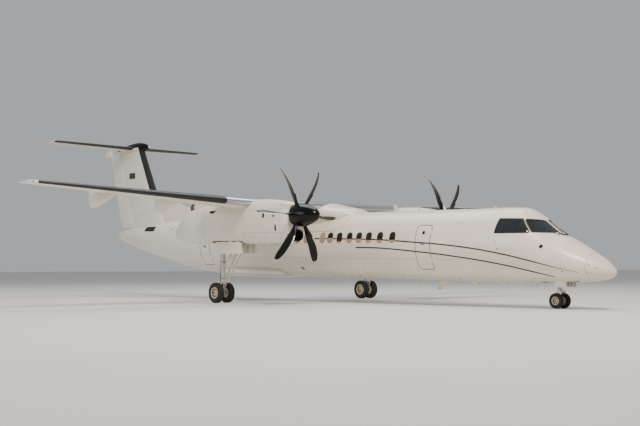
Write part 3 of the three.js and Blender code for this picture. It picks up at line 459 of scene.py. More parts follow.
# Cast alloy of the engine block
CAST_ALLOY = Finish("cast_engine_alloy", "8b8a86", 0.5, metallic=1.0, stain="6a6762", stain_mm=120,
                    relief_mm=0.4)
# Crushed-core cabin panels: warm light grey, matt
CABIN_LINING = Finish("cabin_lining", "b8b2a6", 0.6, stain="a59e90", stain_mm=300, relief_mm=0.2)
# Flight deck trim: dark grey leather-grain plastic
DECK_TRIM = Finish("deck_trim", "3a3d40", 0.7, stain="2c2e30", stain_mm=120, relief_mm=0.4)
# Sheepskin and fabric of the crew seats: grey-blue, fuzzy
SEAT_FABRIC = Finish("seat_fabric", "6c7f8c", 0.9, stain="586873", stain_mm=60, relief_mm=1.5, grain_mm=9,
                     sheen=0.4)
# Ribbed non-slip strip on the stair treads
GRIP = Ridged("ribbed_grip", "35363a", 0.8, stain="4a4b4f", stain_mm=50, relief_mm=2.0, pitch_mm=14, axis="Y")
# Reinforced hydraulic hose
HOSE_RUBBER = Finish("hose_rubber", "202124", 0.6, stain="3a3a3a", stain_mm=30, relief_mm=0.3)
# Clear, red and green moulded lamp lenses
CLEAR_LENS = Finish("clear_lens", "eef2f4", 0.05, transmission=0.7, ior=1.49)
RED_LENS = Finish("red_lens", "a3140f", 0.12, transmission=0.35, ior=1.49, coat=0.3)
GREEN_LENS = Finish("green_lens", "0c6b3c", 0.12, transmission=0.35, ior=1.49, coat=0.3)
# Aluminised lamp bowl
LAMP_BOWL = Finish("lamp_bowl", "e8e8e6", 0.12, metallic=1.0, stain="cfcfcc", stain_mm=40)
# Matt pale studio floor
FLOOR_PAINT = Finish("studio_floor", "d9d8d6", 0.75, stain="cfcecc", stain_mm=2500, stain_share=0.4)


# Jacking pad standing proud below a skin, from radius and height
JACK_PAD = ((0, 0), (0.041, 0), (0.045, 0.004), (0.045, 0.07), (0, 0.07))


# Shaping


def ring_edges(verts: Sequence[bmesh.types.BMVert], closed: bool) -> list[tuple]:
    """Neighbouring pairs of a row of vertices."""
    following = list(verts[1:]) + ([verts[0]] if closed else [])
    return list(zip(verts, following))


class Shape:
    """A piece in the making: closed parts, each with its own finish, joined in one mesh."""

    def __init__(self) -> None:
        """Starts empty."""
        self.bm = bmesh.new()
        self.finishes: list[Finish] = []

    def slot_of(self, finish: Finish) -> int:
        """Number of a finish in this piece's material slots."""
        if finish not in self.finishes:
            self.finishes.append(finish)
        return self.finishes.index(finish)

    def absorb(self, part: bmesh.types.BMesh, finish: Optional[Finish], outward: bool = True) -> "Shape":
        """Adds a part to the piece and frees it.

        Args:
            part: The part's own bmesh.
            finish: One finish for all its faces, or None where they have theirs.
            outward: Whether its faces are turned outwards first.

        Returns:
            This shape.
        """
        if outward:
            bmesh.ops.recalc_face_normals(part, faces=part.faces[:])
            if part.calc_volume(signed=True) < 0:
                bmesh.ops.reverse_faces(part, faces=part.faces[:])
        if finish is not None:
            index = self.slot_of(finish)
            for face in part.faces:
                face.material_index = index
        mesh = bpy.data.meshes.new("part")
        part.to_mesh(mesh)
        part.free()
        self.bm.from_mesh(mesh)
        bpy.data.meshes.remove(mesh)
        return self

    def loft(
        self,
        rings: Sequence[Sequence[Vector]],
        finish: Finish,
        closed: bool = True,
        paint: Optional[Callable[[int, int], Finish]] = None,
        looped: bool = False,
    ) -> "Shape":
        """Skins a row of rings that have equally many points.

        Args:
            rings: Rings in order.
            finish: Finish of the faces.
            closed: Whether each ring closes on itself.
            paint: Finish by number of ring and of point, where it varies.
            looped: Whether the last ring joins the first, as round a lip.

        Returns:
            This shape.
        """
        part = bmesh.new()
        verts = [part.verts.new(point) for point in rings[0]]
        edges = [part.edges.new(pair) for pair in ring_edges(verts, closed)]
        first = list(edges)
        for number, ring in enumerate(rings[1:]):
            made = bmesh.ops.extrude_edge_only(part, edges=edges)["geom"]
            fresh = {item for item in made if isinstance(item, bmesh.types.BMVert)}
            following = [
                next(edge.other_vert(vert) for edge in vert.link_edges if edge.other_vert(vert) in fresh)
                for vert in verts
            ]
            if paint:
                for j, edge in enumerate(edges):
                    face = next(f for f in edge.link_faces if any(v in fresh for v in f.verts))
                    face.material_index = self.slot_of(paint(number, j))
            for vert, point in zip(following, ring):
                vert.co = point
            verts = following
            edges = [part.edges.get(pair) for pair in ring_edges(verts, closed)]
        if looped:
            bmesh.ops.bridge_loops(part, edges=first + edges)
        elif closed:
            for loop in (first, edges):
                cap = bmesh.ops.contextual_create(part, geom=loop)["faces"]
                for face in cap:
                    face.material_index = self.slot_of(paint(0, 0) if paint else finish)
        return self.absorb(part, None if paint else finish)

    def absorb_shape(self, other: "Shape") -> "Shape":
        """Adds another shape with its finishes and frees it."""
        index = [self.slot_of(finish) for finish in other.finishes]
        for face in other.bm.faces:
            face.material_index = index[face.material_index]
        return self.absorb(other.bm, None, outward=False)

    def turned(self, profile: Sequence[Point2], start: Vector, toward: Vector, finish: Finish,
               steps: int = 24,
               paint: Optional[Callable[[float, float], Finish]] = None) -> "Shape":
        """Spins a profile about an axis.

        Args:
            profile: Pairs of radius and distance along the axis; a closed or axis-to-axis line.
            start: Where the distance is 0.
            toward: Direction of the axis.
            finish: Finish of the faces.
            steps: Faces round the axis.
            paint: Finish by radius and distance along the axis, where it varies.

        Returns:
            This shape.
        """
        part = bmesh.new()
        verts = [part.verts.new((radius, 0, along)) for radius, along in profile]
        for pair in ring_edges(verts, False):
            part.edges.new(pair)
        bmesh.ops.spin(
            part, geom=part.verts[:] + part.edges[:], axis=(0, 0, 1), cent=(0, 0, 0), angle=2 * math.pi,
            steps=steps, use_merge=True, use_duplicate=False,
        )
        bmesh.ops.remove_doubles(part, verts=part.verts[:], dist=1e-6)
        for face in part.faces if paint else ():
            middle = face.calc_center_median()
            face.material_index = self.slot_of(paint(math.hypot(middle.x, middle.y), middle.z))
        turn = toward.to_track_quat("Z", "Y").to_matrix().to_4x4()
        bmesh.ops.transform(part, matrix=Matrix.Translation(start) @ turn, verts=part.verts[:])
        return self.absorb(part, None if paint else finish)

    def rod(self, start: Vector, end: Vector, radius: float, finish: Finish, end_radius: float = 0.0,
            steps: int = 16) -> "Shape":
        """A round rod between two points with eased ends."""
        length = (end - start).length
        last = end_radius or radius
        ease = min(radius, last, length / 2) * 0.18
        profile = [(0, 0), (radius - ease, 0), (radius, ease), (last, length - ease), (last - ease, length),
                   (0, length)]
        return self.turned(profile, start, (end - start).normalized(), finish, steps)

    def tube(self, path: Sequence[Vector], radius: float, finish: Finish, sides: int = 8) -> "Shape":
        """A round tube along a path, closed at its ends."""
        rings = []
        for i, point in enumerate(path):
            along = (path[min(i + 1, len(path) - 1)] - path[max(i - 1, 0)]).normalized()
            across = along.cross(UP if abs(along.z) < 0.95 else Vector((1, 0, 0))).normalized()
            other = along.cross(across)
            rings.append([
                point + (across * math.cos(2 * math.pi * k / sides) + other
                         * math.sin(2 * math.pi * k / sides)) * radius
                for k in range(sides)
            ])
        return self.loft(rings, finish)

    def slab(self, stations: Point2, ys: Point2, zs: Point2, finish: Finish, ease: float = 0.004,
             segments: int = 2) -> "Shape":
        """A block between two stations, two distances to port and two heights, with eased edges."""
        part = bmesh.new()
        bmesh.ops.create_cube(part, size=1.0)
        size = (stations[1] - stations[0], ys[1] - ys[0], zs[1] - zs[0])
        bmesh.ops.scale(part, vec=size, verts=part.verts[:])
        middle = at((stations[0] + stations[1]) / 2, (ys[0] + ys[1]) / 2, (zs[0] + zs[1]) / 2)
        bmesh.ops.translate(part, vec=middle, verts=part.verts[:])
        bmesh.ops.bevel(
            part, geom=part.edges[:], offset=min(ease, min(size) / 3), offset_type="OFFSET", affect="EDGES",
            segments=segments, profile=0.5, material=-1,
        )
        return self.absorb(part, finish)

    def panel(self, outline: Sequence[Point2], place: Place, proud: float, depth: float, finish: Finish,
              cell: float | Point2 = 0.08,
              paint: Optional[Callable[[float, float], Finish]] = None) -> "Shape":
        """A sheet that follows a surface.

        Args:
            outline: Closed outline in the surface's own two measures.
            place: Turns those and a distance out into a point.
            proud: How far the outer face stands out.
            depth: How far the inner face lies in.
            finish: Finish of the faces.
            cell: Largest step over the surface in each measure.
            paint: Finish by the place of a face, where it varies.

        Returns:
            This shape.
        """
        part = bmesh.new()
        verts = [part.verts.new((a, 0.0, b)) for a, b in outline]
        edges = [part.edges.new(pair) for pair in ring_edges(verts, True)]
        bmesh.ops.contextual_create(part, geom=edges)
        steps = cell if isinstance(cell, tuple) else (cell, cell)
        spans = [(min(column), max(column)) for column in zip(*outline)]
        for axis, step, (low, high) in zip((0, 2), steps, spans):
            for cut in np.arange(math.ceil(low / step) * step, high, step):
                normal, origin = [0.0] * 3, [0.0] * 3
                normal[axis], origin[axis] = 1.0, float(cut)
                bmesh.ops.bisect_plane(
                    part, geom=part.verts[:] + part.edges[:] + part.faces[:], dist=1e-7, plane_co=origin,
                    plane_no=normal
                )
        return self._thicken(part, place, proud, depth, finish, paint)

    def band(self, outer: Sequence[Point2], inner: Sequence[Point2], place: Place, proud: float, depth: float,
             finish: Finish) -> "Shape":
        """A closed strip between two outlines of equally many points, on a surface."""
        part = bmesh.new()
        edges = []
        for outline in (outer, inner):
            verts = [part.verts.new((a, 0.0, b)) for a, b in outline]
            edges += [part.edges.new(pair) for pair in ring_edges(verts, True)]
        bmesh.ops.bridge_loops(part, edges=edges)
        return self._thicken(part, place, proud, depth, finish, None)

    def _thicken(self, part: bmesh.types.BMesh, place: Place, proud: float, depth: float, finish: Finish,
                 paint: Optional[Callable[[float, float], Finish]]) -> "Shape":
        """Gives a flat pattern its thickness and lays it on the surface."""
        if paint:
            for face in part.faces:
                middle = face.calc_center_median()
                face.material_index = self.slot_of(paint(middle.x, middle.z))
        raised = bmesh.ops.extrude_face_region(part, geom=part.faces[:])["geom"]
        top = [item for item in raised if isinstance(item, bmesh.types.BMVert)]
        bmesh.ops.translate(part, vec=(0, 1, 0), verts=top)
        for vert in part.verts:
            vert.co = place(vert.co.x, vert.co.z, proud if vert.co.y > 0.5 else -depth)
        return self.absorb(part, None if paint else finish)

    def line(self, path: Sequence[Point2], width: float, place: Place, proud: float, finish: Finish,
             depth: float = 0.004, step: float = 0.12) -> "Shape":
        """A narrow strip along an open path on a surface."""
        points: list[Vector] = []
        for here, after in zip(path, path[1:]):
            pieces = max(1, math.ceil(math.dist(here, after) / step))
            points += [Vector(here).lerp(Vector(after), k / pieces) for k in range(pieces)]
        points.append(Vector(path[-1]))
        rings = []
        for i, point in enumerate(points):
            along = (points[min(i + 1, len(points) - 1)] - points[max(i - 1, 0)]).normalized()
            across = Vector((-along.y, along.x)) * width / 2
            left, right = point + across, point - across
            rings.append([
                place(left.x, left.y, proud), place(right.x, right.y, proud),
                place(right.x, right.y, -depth), place(left.x, left.y, -depth),
            ])
        return self.loft(rings, finish)

    def prism(self, outline: Sequence[Point2], ys: Point2, finish: Finish) -> "Shape":
        """A straight prism across the aircraft over an outline of station and height."""
        rings = [[at(station, y, z) for station, z in outline] for y in ys]
        return self.loft(rings, finish)

    def finished(self, name: str, body: str, slot: str, replaces: Iterable[str] = (),
                 side: Optional[Side] = None,
                 sharp: float = 32.0) -> bpy.types.Object:
        """Makes the object, dresses it and ties it to its body.

        Args:
            name: Piece name; a side is added to it.
            body: CAD body that it rides on.
            slot: Material slot of the record; not used.
            replaces: CAD nodes that it stands for.
            side: Side that the piece is for, where the shape is drawn to port.
            sharp: Angle in degrees past which an edge looks sharp.

        Returns:
            The finished object.
        """
        if side is Side.STARBOARD:
            bmesh.ops.scale(self.bm, vec=(1, -1, 1), verts=self.bm.verts[:])
            bmesh.ops.reverse_faces(self.bm, faces=self.bm.faces[:])
        bmesh.ops.transform(self.bm, matrix=STANCE, verts=self.bm.verts[:])
        full = f"{name}_{side.label}" if side else name
        mesh = bpy.data.meshes.new(full)
        self.bm.to_mesh(mesh)
        self.bm.free()
        mesh.shade_smooth()
        mesh.set_sharp_from_angle(angle=math.radians(sharp))
        for finish in self.finishes:
            mesh.materials.append(finish.material())
        piece = bpy.data.objects.new(full, mesh)
        bpy.context.scene.collection.objects.link(piece)
        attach(piece, body)
        if replaces:
            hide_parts(*replaces)
        log.info("%s: %d faces on %s", full, len(mesh.polygons), body)
        return piece


def carve(shape: Shape, *cutters: Shape) -> Shape:
    """Cuts cutters out of a closed shape, one after another.

    Args:
        shape: Shape that is cut; its finishes come first.
        *cutters: Closed shapes; their faces keep their own finish in the cut.

    Returns:
        The cut shape.
    """
    for cutter in cutters:
        index = [shape.slot_of(finish) for finish in cutter.finishes]
        for face in cutter.bm.faces:
            face.material_index = index[face.material_index]
        objects = []
        for bm in (shape.bm, cutter.bm):
            mesh = bpy.data.meshes.new("carving")
            bm.to_mesh(mesh)
            bm.free()
            for finish in shape.finishes:
                mesh.materials.append(finish.material())
            objects.append(bpy.data.objects.new("carving", mesh))
            bpy.context.scene.collection.objects.link(objects[-1])
        block, tool = objects
        boolean = block.modifiers.new("cut", "BOOLEAN")
        boolean.operation, boolean.solver, boolean.object = "DIFFERENCE", "EXACT", tool
        bpy.context.view_layer.update()
        result = bpy.data.meshes.new_from_object(block.evaluated_get(bpy.context.evaluated_depsgraph_get()))
        shape.bm = bmesh.new()
        shape.bm.from_mesh(result)
        for item in objects:
            bpy.data.objects.remove(item)
        bpy.data.meshes.remove(result)
    return shape


# Fuselage

BODY = Shell(
    rows=(
        # station, half width, bottom, top
        (0.200, 0.030, 1.540, 1.580),
        (0.265, 0.175, 1.445, 1.690),
        (0.450, 0.356, 1.338, 1.867),
        (0.680, 0.533, 1.283, 2.037),
        (0.970, 0.677, 1.241, 2.209),
        (1.430, 0.869, 1.218, 2.468),
        (1.930, 1.027, 1.176, 2.732),
        (2.380, 1.096, 1.165, 2.943),
        (2.930, 1.180, 1.150, 3.331),
        (3.380, 1.262, 1.135, 3.666),
        (3.930, 1.306, 1.122, 3.886),
        (4.730, 1.350, 1.115, 3.912),
        (6.030, 1.360, 1.115, 3.905),
        (21.000, 1.360, 1.115, 3.900),
        (22.300, 1.345, 1.168, 3.895),
        (23.800, 1.279, 1.321, 3.860),
        (26.100, 1.053, 1.705, 3.760),
        (28.100, 0.789, 2.062, 3.600),
        (29.500, 0.560, 2.380, 3.500),
        (30.900, 0.275, 2.767, 3.330),
        (31.400, 0.119, 2.961, 3.190),
        (31.560, 0.024, 3.110, 3.150),
    ),
    blunt=True,
)


@dataclass
class Fuselage:
    """The pressure hull with its radome, openings, flight deck and vestibule."""

    radome_seam: float = 1.0
    tail_end: float = 31.56
    points: int = 128
    window_height: float = 2.80
    window_size: Point2 = (0.33, 0.45)
    window_depth: float = 0.016
    starboard_windows: Sequence[float] = (9.38, 10.06, 10.68, 11.24, 11.79, 12.39, 12.95, 13.42, 14.44)
    blind_shares: Sequence[float] = (0.24, 0.28, 0.3, 0.42, 0.38, 0.12, 0.5, 1.0, 1.0)
    aft_windows: Point2 = (15.0, 20.55)
    port_windows: Point2 = (6.65, 20.45)
    window_pitch: float = 0.555
    windscreen: Sequence[Point2] = ((2.370, 2.935), (2.93, 3.410), (3.42, 3.445), (3.00, 2.950))
    side_window: Sequence[Point2] = ((3.035, 2.932), (3.475, 3.450), (4.37, 3.470), (4.41, 2.922))
    pane_gap: float = 0.004
    pane_thickness: float = 0.022
    post_half: float = 0.055
    post_degrees: float = 2.4
    doorway: Sequence[Point2] = field(default_factory=lambda: rectangle(5.15, 1.64, 0.76, 1.64))
    door_gap: float = 0.006
    deck_floor: float = 2.25
    jack_point: tuple[float, float, float] = (3.9, 0, 1.1107)

    def windows(self, side: Side) -> list[tuple[float, float]]:
        """Stations of the cabin windows on a side, each with the share its blind covers."""
        pitch = self.window_pitch
        if side is Side.STARBOARD:
            aft = [(s, 0.2) for s in np.arange(self.aft_windows[0], self.aft_windows[1], pitch)]
            return list(zip(self.starboard_windows, self.blind_shares)) + aft
        places = np.arange(self.port_windows[0], self.port_windows[1], pitch)
        return [(float(s), self.blind_shares[(3 * i) % 7]) for i, s in enumerate(places)]

    def window_outline(self, station: float, margin: float) -> list[Point2]:
        """Rounded outline of a cabin window."""
        width, height = self.window_size
        box = rectangle(station, self.window_height - height / 2, width, height)
        return grown(rounded(box, 0.14, 6), margin)

    def pane_outline(self, corners: Sequence[Point2], margin: float) -> list[Point2]:
        """Rounded outline of a flight deck pane."""
        return grown(resampled(rounded(corners, 0.028, 4), 0.07), margin)

    def pane_place(self, side: Side) -> Place:
        """Lays a flight deck pane on the skin and keeps it off the middle post."""
        base = BODY.on_side(side)

        def place(station: float, z: float, offset: float) -> Vector:
            point = base(station, z, offset)
            if abs(point.y) < self.post_half:
                top = BODY.at_angle(station, math.pi / 2, offset)
                point = Vector((top.x, side.value * self.post_half, top.z))
            return point

        return place

    def hull(self) -> Shape:
        """The skin as one closed solid from the radome seam to the tail cone."""
        first = self.radome_seam + 0.0004
        roots = np.arange(math.sqrt(first - 0.2), 2.2, 0.028)
        stations = [0.2 + root * root for root in roots] + spaced(5.1, 21.0, 0.3) + spaced(21.25, 31.4, 0.25)
        stations += [31.48, 31.53, self.tail_end]
        shape = Shape()
        return shape.loft([BODY.ring(s, self.points) for s in stations], WHITE_PAINT)

    def flight_deck_cavity(self) -> Shape:
        """Hollow behind the windscreen, above the floor."""
        stations = [2.5, 2.7, 2.9, 3.15, 3.4, 3.8, 4.2, 4.66]
        shape = Shape()
        shape.loft([BODY.ring(s, 48, 0.07) for s in stations], DECK_TRIM)
        cut = bmesh.ops.bisect_plane(
            shape.bm, geom=shape.bm.verts[:] + shape.bm.edges[:] + shape.bm.faces[:], dist=1e-6,
            plane_co=at(0, 0, self.deck_floor), plane_no=(0, 0, 1), clear_inner=True,
        )
        rim = [item for item in cut["geom_cut"] if isinstance(item, bmesh.types.BMEdge)]
        bmesh.ops.contextual_create(shape.bm, geom=rim)
        bmesh.ops.recalc_face_normals(shape.bm, faces=shape.bm.faces[:])
        return shape

    def build(self) -> None:
        """Builds the hull, the radome, the panes and the rooms behind them."""
        openings = Shape()
        for side in Side:
            place = BODY.on_side(side)
            for station, _ in self.windows(side):
                openings.panel(self.window_outline(station, 0.0), place, 0.06, self.window_depth,
                               SATIN_PAINT, cell=0.2)
        openings.prism(rounded(grown(self.doorway, self.door_gap), 0.10), (0.46, 1.6), CABIN_LINING)
        openings.slab((1.48, 3.10), (-0.30, 0.30), (0.90, 1.90), BAY_PRIMER, ease=0.01)
        panes = Shape()
        for side in Side:
            for corners in (self.windscreen, self.side_window):
                panes.panel(
                    self.pane_outline(corners, self.pane_gap), self.pane_place(side), 0.08, 0.13,
                    RUBBER_AND_PAINTED_SHADE, cell=0.1
                )
        hull = carve(self.hull(), openings, self.flight_deck_cavity(), panes)
        hull.turned(
            [(0, 0), (0.017, 0), (0.019, 0.003), (0.019, 0.276), (0.017, 0.279), (0, 0.279)],
            at(5.15 + 0.1395, 1.058, 1.6455), Vector((1, 0, 0)), STEEL,
        )
        self.seams(hull)
        hull.line([(s, 90.0) for s in spaced(2.36, 3.44, 0.06)], 2 * self.post_degrees, BODY.round_about(),
                  0.012, WHITE_PAINT,
                  depth=0.02, step=1)
        hull.turned(JACK_PAD, at(*self.jack_point), UP, STEEL)
        hull.finished("fuselage_skin", "airframe", "white_paint", ["fuselage"])
        radome = Shape()
        roots = np.linspace(0, math.sqrt(self.radome_seam - 0.2), 30)
        radome.loft([BODY.ring(0.2 + root * root, 96) for root in roots], SATIN_PAINT)
        self.radome_trim(radome)
        radome.finished("radome_skin", "airframe", "radome_paint", ["radome"])
        self.panes()
        self.cabin_windows()
        self.flight_deck()

    def seams(self, shape: Shape) -> None:
        """Thin lines of the skin joints and the nose access panel."""
        place = BODY.round_about()
        for station in (1.78, 4.62, 6.15, 8.9, 15.95, 19.05, 21.1, 23.3, 25.9, 28.9):
            shape.line([(station, a) for a in np.arange(0, 361, 6.0)], 0.007, place, 0.0008, JOINT_SHADE,
                       step=20)
        for side in Side:
            flank = BODY.on_side(side)
            shape.line([(5.9, 3.30), (12.2, 3.30)], 0.006, flank, 0.0008, JOINT_SHADE, step=0.3)
            shape.line([(5.9, 1.95), (21.2, 1.95)], 0.006, flank, 0.0008, JOINT_SHADE, step=0.3)
            hatch = rounded(rectangle(1.38, 1.72, 0.62, 0.34), 0.04)
            shape.band(grown(hatch, 0.004), hatch, flank, 0.0008, 0.003, JOINT_SHADE)

    def radome_trim(self, shape: Shape) -> None:
        """Lightning strips and the small pale latches near the seam."""
        place = BODY.round_about()
        for angle in (-60, -20, 20, 60, 120, 160, 200, 240):
            shape.line([(s, angle) for s in np.arange(0.42, 0.97, 0.06)], 0.6, place, 0.0012, STEEL, step=1)
        shape.line([(0.993, a) for a in np.arange(0, 361, 6.0)], 0.010, place, 0.0008, JOINT_SHADE, step=20)
        for side in Side:
            flank = BODY.on_side(side)
            for station, z in ((0.88, 1.82), (0.66, 1.71)):
                latch = rounded(rectangle(station, z - 0.015, 0.06, 0.03), 0.01, 3)
                shape.panel(latch, flank, 0.003, 0.003, BARE_METAL)

    def panes(self) -> None:
        """Glass of the flight deck, its black edge and the wipers."""
        for side in Side:
            for node, corners in (("windscreen", self.windscreen), ("side_window", self.side_window)):
                place = self.pane_place(side)
                glass = Shape()
                outline = self.pane_outline(corners, -0.001)
                glass.panel(outline, place, -0.003, self.pane_thickness, COCKPIT_GLASS, cell=0.09)
                glass.finished(f"{node}_glass_{side.label}", "airframe", "dark_glass",
                               [f"{node}_{side.label}"])
                edge = Shape()
                edge.band(
                    self.pane_outline(corners, 0.012), self.pane_outline(corners, -0.030), place, 0.0015,
                    0.003, RUBBER_AND_PAINTED_SHADE
                )
                edge.finished(f"{node}_edge_{side.label}", "airframe", "black_boot")
        for side in Side:
            wiper = Shape()
            foot = BODY.on_side(side)(2.30, 2.86, 0.012)
            tip = BODY.on_side(side)(2.86, 3.10, 0.016)
            wiper.turned([(0, -0.03), (0.022, -0.03), (0.022, 0.012), (0.014, 0.02), (0, 0.02)], foot,
                         Vector((0.5, 0, 0.86)), RUBBER_AND_PAINTED_SHADE)
            wiper.tube([foot, foot.lerp(tip, 0.5) + Vector((0, 0, 0.012)), tip], 0.007, RUBBER_AND_PAINTED_SHADE)
            base = [BODY.at_angle(s, math.radians(90 - side.value * a), 0.016) for s,
                    a in ((2.36, 12.0), (2.26, 7.0), (2.18, 3.0))]
            wiper.tube(base, 0.030, RUBBER_AND_PAINTED_SHADE)
            wiper.finished(f"wiper_{side.label}", "airframe", "black_boot")

    def cabin_windows(self) -> None:
        """Acrylic panes with their blinds, and the rim round each."""
        for side in Side:
            place = BODY.on_side(side)
            glass = Shape()
            height = self.window_size[1]
            for station, share in self.windows(side):
                blind_top = self.window_height + height * (share - 0.5)
                # Outside the blind the pane is drawn dark as painted shade of the cabin behind.
                glass.panel(
                    self.window_outline(station, -0.006), place, -0.011, 0.0155, CABIN_ACRYLIC, cell=0.05,
                    paint=lambda s, z, top=blind_top: BLIND_PLASTIC if z < top else CABIN_ACRYLIC,
                )
                glass.band(
                    self.window_outline(station, 0.0), self.window_outline(station, -0.010), place, -0.006,
                    0.014, RUBBER_AND_PAINTED_SHADE
                )
            glass.finished(f"cabin_windows_{side.label}", "airframe", "dark_glass")

    def flight_deck(self) -> None:
        """Crew seats, glareshield and panel that show faintly through the glass."""
        deck = Shape()
        for y in (-0.52, 0.52):
            deck.slab((3.62, 4.02), (y - 0.24, y + 0.24), (2.52, 2.64), SEAT_FABRIC, ease=0.05, segments=4)
            deck.slab((4.00, 4.14), (y - 0.23, y + 0.23), (2.62, 3.22), SEAT_FABRIC, ease=0.05, segments=4)
            deck.slab((4.02, 4.12), (y - 0.13, y + 0.13), (3.24, 3.42), SEAT_FABRIC, ease=0.045, segments=4)
            deck.rod(at(3.85, y, self.deck_floor), at(3.85, y, 2.54), 0.05, STEEL)
            deck.tube([at(3.45, y, 2.4), at(3.40, y, 2.72), at(3.48, y, 2.80)], 0.018, DECK_TRIM)
            deck.tube([at(3.47, y + 0.14 * math.cos(a), 2.80 + 0.07 * math.sin(a))
                       for a in np.linspace(0.3, 2.84, 9)],
                      0.014, DECK_TRIM)
        deck.slab((2.86, 3.28), (-0.78, 0.78), (2.78, 2.84), DECK_TRIM, ease=0.02)
        deck.slab((3.14, 3.22), (-0.74, 0.74), (2.40, 2.79), DECK_TRIM, ease=0.01)
        deck.slab((3.30, 3.90), (-0.16, 0.16), (2.27, 2.62), DECK_TRIM, ease=0.03)
        deck.slab((4.58, 4.64), (-1.05, 1.05), (2.27, 3.35), CABIN_LINING, ease=0.02)
        deck.finished("flight_deck", "airframe", "black_boot")


# Doors


@dataclass
class Door:
    """A flush door panel on the fuselage, drawn in its own frame of dark seal, which is painted shade of the
    gap round it.
    """

    node: str
    side: Side
    station: float
    low: float
    width: float
    height: float
    corner: float = 0.11

    def outline(self, margin: float = 0.0) -> list[Point2]:
        """The door's rounded outline."""
        box = rectangle(self.station, self.low, self.width, self.height)
        return grown(resampled(rounded(box, self.corner), 0.08), margin)

    def build(self) -> None:
        """Builds the panel, its dark seal band as painted shade of the gap, handle and hinge fairings."""
        place = BODY.on_side(self.side)
        door = Shape()
        # The dark band round the door is painted shade of the gap, drawn as seal rubber.
        door.band(self.outline(0.013), self.outline(-0.012), place, 0.0022, 0.004, RUBBER_AND_PAINTED_SHADE)
        door.panel(self.outline(-0.003), place, 0.0016, 0.004, WHITE_PAINT)
        forward = self.station - self.width * 0.12
        handle = rounded(rectangle(forward + 0.08, self.low + self.height * 0.56, 0.19, 0.075), 0.03, 4)
        door.band(grown(handle, 0.006), handle, place, 0.0026, 0.001, RUBBER_AND_PAINTED_SHADE)
        door.panel(handle, place, 0.0022, 0.002, SQUARE_PAINT)
        grip = rounded(rectangle(forward + 0.08, self.low + self.height * 0.56 + 0.025, 0.14, 0.026), 0.011,
                       3)
        door.panel(grip, place, 0.010, -0.001, BARE_METAL)
        for z in (self.low + 0.28, self.low + self.height - 0.34):
            hinge = rounded(rectangle(self.station - self.width / 2 - 0.015, z, 0.05, 0.13), 0.018, 3)
            door.panel(hinge, place, 0.012, 0.003, WHITE_PAINT)
        port = rounded(rectangle(self.station, self.low + self.height * 0.80, 0.12, 0.12), 0.058, 6)
        if self.height > 1.6:
            door.band(grown(port, 0.012), port, place, 0.003, 0.001, RUBBER_AND_PAINTED_SHADE)
            # The port's pane is painted shade of the cabin behind.
            door.panel(port, place, 0.002, 0.002, CABIN_ACRYLIC)
        door.finished(f"{self.node}_panel", "airframe", "white_paint", [self.node])


@dataclass
class Airstair:
    """The folding stair that is also the forward passenger door."""

    outline: Sequence[Point2] = field(default_factory=lambda: rectangle(5.15, 1.64, 0.76, 1.64))
    thickness: float = 0.07
    steps: int = 5
    first_step: float = 1.85
    step_pitch: float = 0.27
    step_depth: float = 0.23
    step_width: float = 0.56
    hinge_y: float = 1.058
    hinge_z: float = 1.6455

    def build(self) -> None:
        """Builds the curved panel, its treads, rails and hinge."""
        place = BODY.on_side(Side.PORT)
        stair = Shape()
        shell = resampled(rounded(self.outline, 0.10), 0.08)
        notch = (5.15 - 0.150, 5.15 + 0.150)
        stair.panel(shell, place, 0.0, self.thickness, WHITE_PAINT, cell=0.07)
        knuckle_room = Shape()
        knuckle_room.rod(at(notch[0], self.hinge_y, self.hinge_z), at(notch[1], self.hinge_y, self.hinge_z),
                         0.027, RUBBER_AND_PAINTED_SHADE)
        stair = carve(stair, knuckle_room)
        inner = rounded(rectangle(5.15, 1.70, 0.66, 1.50), 0.08)
        stair.panel(resampled(inner, 0.08), place, -self.thickness - 0.0005, self.thickness + 0.006,
                    CABIN_LINING)
        for i in range(self.steps):
            z = self.first_step + i * self.step_pitch
            y = BODY.at_angle(5.15, BODY.angle_at(5.15, z)).y - self.thickness
            low, high = 5.15 - self.step_width / 2, 5.15 + self.step_width / 2
            stair.slab((low, high), (y - self.step_depth + 0.035, y + 0.03), (z, z + 0.028), LEG_ENAMEL,
                       ease=0.006)
            stair.slab((low + 0.02, high - 0.02), (y - self.step_depth + 0.045, y - 0.02),
                       (z + 0.026, z + 0.031), GRIP,
                       ease=0.002)
            for edge in (low + 0.012, high - 0.012):
                stair.slab((edge - 0.010, edge + 0.010), (y - self.step_depth + 0.06, y + 0.02),
                           (z - 0.07, z + 0.02),
                           LEG_ENAMEL, ease=0.004)
        for offset in (-0.24, 0.24):
            stair.rod(at(5.15 + offset - 0.10, self.hinge_y, self.hinge_z),
                      at(5.15 + offset + 0.10, self.hinge_y, self.hinge_z),
                      0.012, STEEL)
        for edge in (-0.315, 0.315):
            rail = [at(5.15 + edge, BODY.at_angle(5.15, BODY.angle_at(5.15, z)).y - self.thickness - out, z)
                    for z, out in ((1.80, 0.0), (1.86, 0.10), (2.10, 0.16), (2.60, 0.17), (3.00, 0.10),
                                   (3.06, 0.0))]
            stair.tube(rail, 0.012, CHROME)
        handle = rounded(rectangle(5.02, 2.46, 0.20, 0.08), 0.03, 4)
        stair.band(grown(handle, 0.006), handle, place, 0.0026, 0.001, RUBBER_AND_PAINTED_SHADE)
        stair.panel(handle, place, 0.0015, 0.002, SQUARE_PAINT)
        Livery().over_airstair(stair)
        stair.finished("airstair", "airstair", "white_paint", ["airstair_door"])


